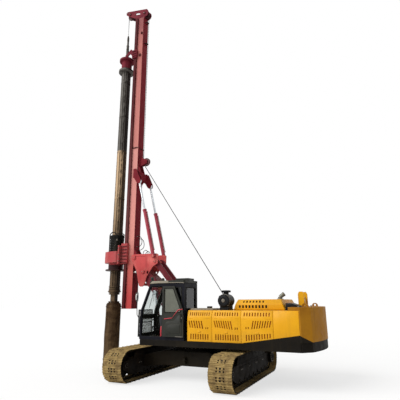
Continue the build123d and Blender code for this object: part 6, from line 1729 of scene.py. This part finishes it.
@dataclass
class BoomGear:
    """Pin caps, clipped pipes and cylinder fittings on the boom, cradle and cylinders."""

    palette: Palette
    foot: Flat = (0.87, 2.0)
    head: Flat = (2.13, 3.5)
    link_foot: Flat = (0.36, 2.36)
    link_head: Flat = (1.62, 3.86)
    pivot: Flat = (2.56, 4.06)
    tilt_base: Flat = (1.64, 4.05)
    tilt_eye: Flat = (2.4, 7.1)

    def build(self) -> None:
        """Makes the pin caps, pipes and cylinder fittings."""
        form = Form()
        for side in SIDES:
            self._cap(form, self.foot, side, 0.325, 0.075)
            self._cap(form, self.link_foot, side, 0.32, 0.058)
        form.piece("foot_pin_caps", "upper", "dark_red", self.palette, Finish.LINK, Finish.STEEL)
        form = Form()
        for side in SIDES:
            for at, face, radius in ((self.pivot, 0.345, 0.085), (self.head, 0.345, 0.075),
                                     (self.link_head, 0.33, 0.058), (self.tilt_base, 0.46, 0.06)):
                self._cap(form, at, side, face, radius)
            form.bar((2.05, side * 0.322, 4.09), (2.5, side * 0.322, 4.11), 0.012, sides=8)
        form.piece("cradle_pin_caps", "cradle", "mast_red", self.palette, Finish.RED, Finish.STEEL)
        self._boom_pipes()
        self._cylinders()

    @staticmethod
    def _cap(form: Form, at: Flat, side: int, face: float, radius: float) -> None:
        """Adds a keeper plate with two bolts on a pin's end."""
        base = (at[0], side * face, at[1])
        profile = ((0.0, 0.014), (radius * 0.85, 0.014), (radius, 0.006), (radius, -0.004))
        form.lathe(profile, base, outwards(side), 28)
        spots = [(at[0] + step, side * (face + 0.013), at[1]) for step in (-radius * 0.5, radius * 0.5)]
        form.bolts(spots, outwards(side), 0.02, 1)

    def _boom_pipes(self) -> None:
        """Clips two pipes along each flank of the boom."""
        form = Form()
        start, end = Vector((self.foot[0], 0, self.foot[1])), Vector((self.head[0], 0, self.head[1]))
        run = (end - start).normalized()
        over = Vector((-run.z, 0, run.x))
        for side in SIDES:
            out = outwards(side)
            for lane in (0.07, 0.12):
                line = [start + run * share + over * lane + out * 0.268 for share in (0.3, 0.75, 1.2, 1.6)]
                form.sweep(line, 0.013, 8)
            for share in (0.45, 0.8, 1.45):
                middle = start + run * share + over * 0.095 + out * 0.266
                form.bar(tuple(middle - over * 0.06), tuple(middle + over * 0.06), 0.012, sides=6, finish=1)
        form.piece("boom_pipes", "boom", "dark_red", self.palette, Finish.LINK, Finish.STEEL)

    def _cylinders(self) -> None:
        """Adds gland rings, ports and feed pipes to the tilt cylinders."""
        form = Form()
        base, eye = (Vector((at[0], 0, at[1])) for at in (self.tilt_base, self.tilt_eye))
        run = (eye - base).normalized()
        back = Vector((-run.z, 0, run.x))
        for side in SIDES:
            out = Vector((0, side * 0.4, 0))
            gland = base + run * 1.86 + out
            form.lathe(((0.075, 0.0), (0.082, 0.006), (0.082, 0.034), (0.06, 0.042), (0.046, 0.042)), tuple(gland),
                       run, 28)
            form.bolts([tuple(gland + run * 0.034 + back * 0.068 * math.cos(a) + Vector((0, 0.068 * math.sin(a), 0)))
                        for a in (0.4, 1.6, 2.8, 4.0, 5.2)], run, 0.014, 1)
            for share in (0.24, 1.76):
                port = base + run * share + out + back * 0.066
                form.bar(tuple(port), tuple(port + back * 0.04), 0.022, sides=12, bevel=0.004)
            line = [base + run * share + out + back * 0.095 for share in (0.24, 0.8, 1.3, 1.76)]
            form.sweep(line, 0.011, 8, finish=1)
        form.piece("tilt_cylinder_fittings", "tilt_barrels", "mast_red", self.palette, Finish.BARREL, Finish.STEEL)


@dataclass
class MastGear:
    """Splice flanges, studs, brackets, lamp and rope guides on the mast."""

    palette: Palette
    back: float = 2.67
    front: float = 2.95
    half: float = 0.2
    bottom: float = 2.16
    splice: float = 8.7
    studs: int = 43
    stud_pitch: float = 0.3

    def build(self) -> None:
        """Makes the mast's fittings."""
        form = Form()
        z = self.splice
        for side in SIDES:
            y = side * self.half
            form.box((self.back + 0.02, y - side * 0.002, z - 0.02), (self.front - 0.01, y + side * 0.03, z + 0.02),
                     0.004)
            form.bolts([(x, y + side * 0.018, z + 0.02) for x in (2.72, 2.8, 2.88)], UP, 0.026, 1)
        form.box((self.back - 0.03, -0.19, z - 0.02), (self.back + 0.002, 0.19, z + 0.02), 0.004)
        for side in SIDES:
            spots = [(2.93, side * self.half, self.bottom + self.stud_pitch * step)
                     for step in range(1, self.studs + 1)]
            form.bolts(spots, outwards(side), 0.018)
            form.box((2.7, side * self.half, 14.38), (2.77, side * (self.half + 0.05), 14.48), 0.008)
            form.box((2.74, side * self.half, 13.2), (2.83, side * (self.half + 0.045), 13.32), 0.008)
        form.piece("mast_fittings", "mast", "mast_red", self.palette, Finish.MAROON, Finish.STEEL)
        form = Form()
        for z in (13.9, 15.05):
            form.box((2.52, -0.06, z), (self.back + 0.002, -0.04, z + 0.05), 0.004)
            form.box((2.52, 0.04, z), (self.back + 0.002, 0.06, z + 0.05), 0.004)
            form.bar((2.535, -0.06, z + 0.025), (2.535, 0.06, z + 0.025), 0.012, sides=12)
        form.piece("rope_guides", "mast", "dark_red", self.palette, Finish.BLACK)
        form = Form()
        form.box((2.6, 0.11, 3.5), (2.672, 0.15, 3.54), 0.006)
        form.bar((2.6, 0.13, 3.52), (2.54, 0.13, 3.52), 0.035, 0.05, 24, 0.005)
        form.bar((2.542, 0.13, 3.52), (2.536, 0.13, 3.52), 0.045, sides=24, finish=1)
        form.piece("mast_lamp", "mast", "console_plastic", self.palette, Finish.PALE, Finish.LENS)
        self._crown()

    def _crown(self) -> None:
        """Adds pin caps, a guard bar behind the rear sheave and plate bolts to the crown."""
        form = Form()
        for at in ((3.48, 15.77), (2.67, 15.56)):
            for side in SIDES:
                base = (at[0], side * 0.17, at[1])
                form.lathe(((0.0, 0.012), (0.06, 0.01), (0.06, -0.016)), base, outwards(side), 24)
                form.bolts([(at[0], side * 0.18, at[1])], outwards(side), 0.026, 1)
        for side in SIDES:
            form.bolts([(x, side * 0.152, 15.33) for x in (2.72, 2.81, 2.9)], outwards(side), 0.028, 1)
            form.bolts([(3.64, side * 0.152, 15.93), (3.25, side * 0.152, 15.64)], outwards(side), 0.028, 1)
        form.bar((2.49, -0.13, 15.54), (2.49, 0.13, 15.54), 0.014, sides=12)
        form.piece("crown_fittings", "mast", "dark_red", self.palette, Finish.MAROON, Finish.STEEL)


@dataclass
class HeadGear:
    """Ribs and bolts of the rotary head and the kelly's guide."""

    palette: Palette
    kelly_x: float = KELLY_X

    def build(self) -> None:
        """Makes the head's and the guide's fittings."""
        form = Form()
        for side in SIDES:
            for index in range(6):
                z = 3.88 + 0.125 * index
                form.box((2.93, side * 0.31, z), (3.185, side * 0.352, z + 0.03), 0.005)
            form.bolts([(3.21, side * 0.455, z) for z in (3.95, 4.2, 4.45)], outwards(side), 0.03, 1)
        form.bolts(circle_spots((self.kelly_x, 0, 4.33), Axis.Z, 0.33, 16, 0.2), UP, 0.028, 1)
        form.ring((self.kelly_x, 0, 3.655), Axis.Z, 0.3, 0.012)
        form.piece("head_ribs", "head", "dark_red", self.palette, Finish.MAROON, Finish.STEEL)
        form = Form()
        for side in SIDES:
            spot = (3.39, side * 0.33, 4.56)
            form.bolts(circle_spots(spot, Axis.Z, 0.116, 8), UP, 0.022, 1)
            for z in (4.62, 4.68, 4.73):
                form.ring((3.39, side * 0.33, z), Axis.Z, 0.1, 0.008)
        form.piece("motor_trim", "head", "frame_black", self.palette, Finish.BLACK, Finish.STEEL)
        form = Form()
        for index in range(8):
            form.ring((self.kelly_x, 0, 4.43 + 0.068 * index), Axis.Z, 0.268, 0.02)
        form.piece("damper_coils", "head", "buffer_rubber", self.palette, Finish.RUBBER)
        form = Form()
        form.bolts(circle_spots((self.kelly_x, 0, 13.34), Axis.Z, 0.285, 12), UP, 0.026, 1)
        for side in SIDES:
            for z in (13.2, 13.32, 13.44):
                form.box((2.93, side * 0.31, z), (3.13, side * 0.335, z + 0.025), 0.004)
        form.piece("guide_trim", "kelly_guide", "dark_red", self.palette, Finish.MAROON, Finish.STEEL)


@dataclass
class DrillString:
    """Bands on the kelly and the bucket's strakes, door and cutters."""

    palette: Palette
    kelly_x: float = KELLY_X
    bucket_radius: float = 0.285
    strakes: int = 3
    strake_steps: int = 14
    strake_turn: float = 1.5
    strake_foot: float = 0.4
    strake_rise: float = 1.78

    def build(self) -> None:
        """Makes the kelly's bands and the bucket's fittings."""
        form = Form()
        for z in (4.95, 6.6, 8.71, 10.4, 12.1):
            band = ((0.204, -0.03), (0.212, -0.024), (0.212, 0.024), (0.204, 0.03))
            form.lathe(band, (self.kelly_x, 0, z), Axis.Z, 40)
        for z, radius in ((2.72, 0.186), (2.815, 0.226), (2.905, 0.206), (2.985, 0.206)):
            foot, rim = radius - 0.002, radius + 0.026
            collar = ((foot, -0.024), (rim, -0.018), (rim, 0.018), (foot, 0.024))
            form.lathe(collar, (self.kelly_x, 0, z), Axis.Z, 40)
        form.piece("kelly_bands", "kelly", "kelly_steel", self.palette, Finish.KELLY)
        form = Form()
        for z in (0.34, 2.24):
            form.lathe(((0.283, -0.03), (0.297, -0.02), (0.297, 0.02), (0.283, 0.03)), (self.kelly_x, 0, z), Axis.Z, 48)
        for index in range(self.strakes):
            self._strake(form, FULL_TURN * index / self.strakes)
        for index in range(6):
            angle = FULL_TURN * index / 6 + 0.26
            spot = Vector((self.kelly_x + 0.286 * math.cos(angle), 0.286 * math.sin(angle), 0.2))
            out = Vector((math.cos(angle), math.sin(angle), 0))
            form.bar(tuple(spot - out * 0.01), tuple(spot + out * 0.014), 0.03, 0.026, 14)
        for step in (-0.11, 0.11):
            form.box((self.kelly_x + step - 0.02, -0.162, 2.385), (self.kelly_x + step + 0.02, 0.162, 2.43), 0.006)
        form.bar((self.kelly_x, -0.19, 2.41), (self.kelly_x, 0.19, 2.41), 0.022, sides=14, bevel=0.004, finish=1)
        form.piece("bucket_fittings", "kelly", "tool_rust", self.palette, Finish.TOOL, Finish.STEEL)

    def _strake(self, form: Form, start: float) -> None:
        """Adds one wear strake that climbs round the bucket."""
        path = []
        for step in range(self.strake_steps):
            share = step / (self.strake_steps - 1)
            angle = start + self.strake_turn * share
            path.append(Vector((self.kelly_x + self.bucket_radius * math.cos(angle),
                                self.bucket_radius * math.sin(angle), self.strake_foot + self.strake_rise * share)))
        form.sweep(path, 0.011, 6)


@dataclass
class HoistRope:
    """The hoist rope from the winch over the mast's sheaves to the swivel."""

    palette: Palette
    radius: float = 0.014
    lay: float = 0.22
    strand: float = 0.003
    swivel_x: float = KELLY_X
    sheave_exit: Flat = (2.483, 7.97)
    drum_entry: Flat = (-1.441, 1.924)

    def build(self) -> None:
        """Makes the rope's two runs and its socket."""
        flat = [*((self.swivel_x, z) for z in (7.5, 11.5, 15.5, 15.81)), (3.64, 15.93), (3.46, 15.945), (3.3, 15.9),
                (2.8, 15.765), (2.62, 15.73), (2.5, 15.64), (2.5, 15.48), (2.5, 15.2), (2.504, 11.8), (2.507, 8.3),
                (2.507, 8.06), self.sheave_exit]
        form = Form()
        form.sweep(smooth_path([(x, 0, z) for x, z in flat], 24), self.radius, 12, self.strand, self.lay)
        form.piece("hoist_rope_mast", "mast", "kelly_steel", self.palette, Finish.ROPE)
        start = Vector((self.sheave_exit[0], 0, self.sheave_exit[1]))
        end = Vector((self.drum_entry[0], 0, self.drum_entry[1]))
        steps = 240
        form = Form()
        form.sweep([start.lerp(end, step / steps) for step in range(steps + 1)], self.radius, 12, self.strand, self.lay)
        run = form.piece("hoist_rope_run", "cradle", "kelly_steel", self.palette, Finish.ROPE)
        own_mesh(run)
        form = Form()
        form.lathe(((0.0, 0.0), (0.034, 0.0), (0.05, 0.06), (0.05, 0.2), (0.028, 0.34), (0.016, 0.36)),
                   (self.swivel_x, 0, 14.38), Axis.Z, 24)
        form.ring((self.swivel_x, 0, 14.16), Axis.Z, 0.058, 0.01)
        form.ring((self.swivel_x, 0, 13.96), Axis.Z, 0.058, 0.01)
        form.piece("rope_socket", "kelly_guide", "kelly_steel", self.palette, Finish.KELLY)


@dataclass
class Hose:
    """One hydraulic hose between two fittings.

    Attributes:
        name: The piece's name.
        body: The body that carries both of its ends.
        points: Control points of its line.
        diameter: Its outside diameter.
    """

    name: str
    body: str
    points: tuple[Point, ...]
    diameter: float

    def build(self, palette: Palette) -> None:
        """Makes the hose and its two end fittings."""
        path = smooth_path(self.points, 24)
        length = sum((after - before).length for before, after in zip(path, path[1:]))
        curve = nurbs_curve(self.name, self.points, 16)
        curve.bevel_depth = self.diameter / 2
        curve.bevel_resolution = 3
        curve.use_fill_caps = True
        curve.materials.append(palette.materials[Finish.RUBBER])
        made = bpy.data.objects.new(self.name, curve)
        bpy.context.scene.collection.objects.link(made)
        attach(made, self.body)
        form = Form()
        for end, inner in ((path[0], path[6]), (path[-1], path[-7])):
            run = (inner - end).normalized()
            form.bar(tuple(end - run * 0.004), tuple(end + run * 0.05), self.diameter * 0.66, sides=6, bevel=0.002)
            form.bar(tuple(end + run * 0.05), tuple(end + run * 0.085), self.diameter * 0.58, sides=16, bevel=0.002)
        fittings = form.piece(f"{self.name}_fittings", self.body, "pipe_grey", palette, Finish.STEEL)
        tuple(self.points[0])
        LOG.info("%s is %.3f m long", self.name, length)


HOSES = (
    Hose("mast_hose_upper", "mast", ((2.67, 0.06, 4.92), (2.58, 0.06, 4.92), (2.46, 0.06, 4.9), (2.39, 0.06, 4.74),
                                     (2.41, 0.06, 4.58), (2.52, 0.06, 4.5), (2.67, 0.06, 4.5)), 0.024),
    Hose("mast_hose_lower", "mast", ((2.67, -0.06, 4.84), (2.57, -0.06, 4.84), (2.43, -0.06, 4.8), (2.36, -0.06, 4.62),
                                     (2.39, -0.06, 4.46), (2.52, -0.06, 4.38), (2.67, -0.06, 4.38)), 0.024),
    Hose("cradle_hose_left", "cradle", ((2.1, 0.09, 4.058), (2.1, 0.09, 4.14), (2.07, 0.09, 4.27), (2.18, 0.09, 4.36),
                                        (2.3, 0.09, 4.29), (2.3, 0.09, 4.16), (2.3, 0.09, 4.058)), 0.022),
    Hose("cradle_hose_right", "cradle", ((2.11, -0.09, 4.058), (2.11, -0.09, 4.14), (2.09, -0.09, 4.25),
                                         (2.19, -0.09, 4.33), (2.3, -0.09, 4.27), (2.3, -0.09, 4.15),
                                         (2.3, -0.09, 4.058)), 0.022),
    *(Hose(f"head_hose_front_{name}", "head", ((3.43, side * 0.33, 4.758), (3.43, side * 0.33, 4.86),
                                               (3.43, side * 0.335, 5.05), (3.603, side * 0.34, 5.15),
                                               (3.777, side * 0.33, 5.05), (3.777, side * 0.315, 4.85),
                                               (3.777, side * 0.31, 4.55), (3.777, side * 0.31, 4.328)), 0.038)
      for name, side in zip(("left", "right"), SIDES)),
    *(Hose(f"head_hose_rear_{name}", "head", ((3.37, side * 0.35, 4.758), (3.37, side * 0.35, 4.89),
                                              (3.37, side * 0.34, 5.026), (3.255, side * 0.295, 5.1),
                                              (3.14, side * 0.25, 5.026), (3.14, side * 0.24, 4.893),
                                              (3.14, side * 0.24, 4.765), (3.14, side * 0.24, 4.638)), 0.024)
      for name, side in zip(("left", "right"), SIDES)),
)


def main() -> None:
    """Builds the dressed machine."""
    logging.basicConfig(level=logging.INFO, format="%(name)s: %(message)s")
    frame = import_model()
    palette = Palette()
    palette.paint_nodes(frame["nodes"])
    Studio().build()
    for hose in HOSES:
        hose.build(palette)
    for assembly in (Tracks, CentreFrame, SidePanels, EngineHood, Counterweight, DeckPlant, Cab, BoomGear, MastGear,
                     HeadGear, DrillString, HoistRope):
        assembly(palette).build()


if __name__ == "__main__":
    main()
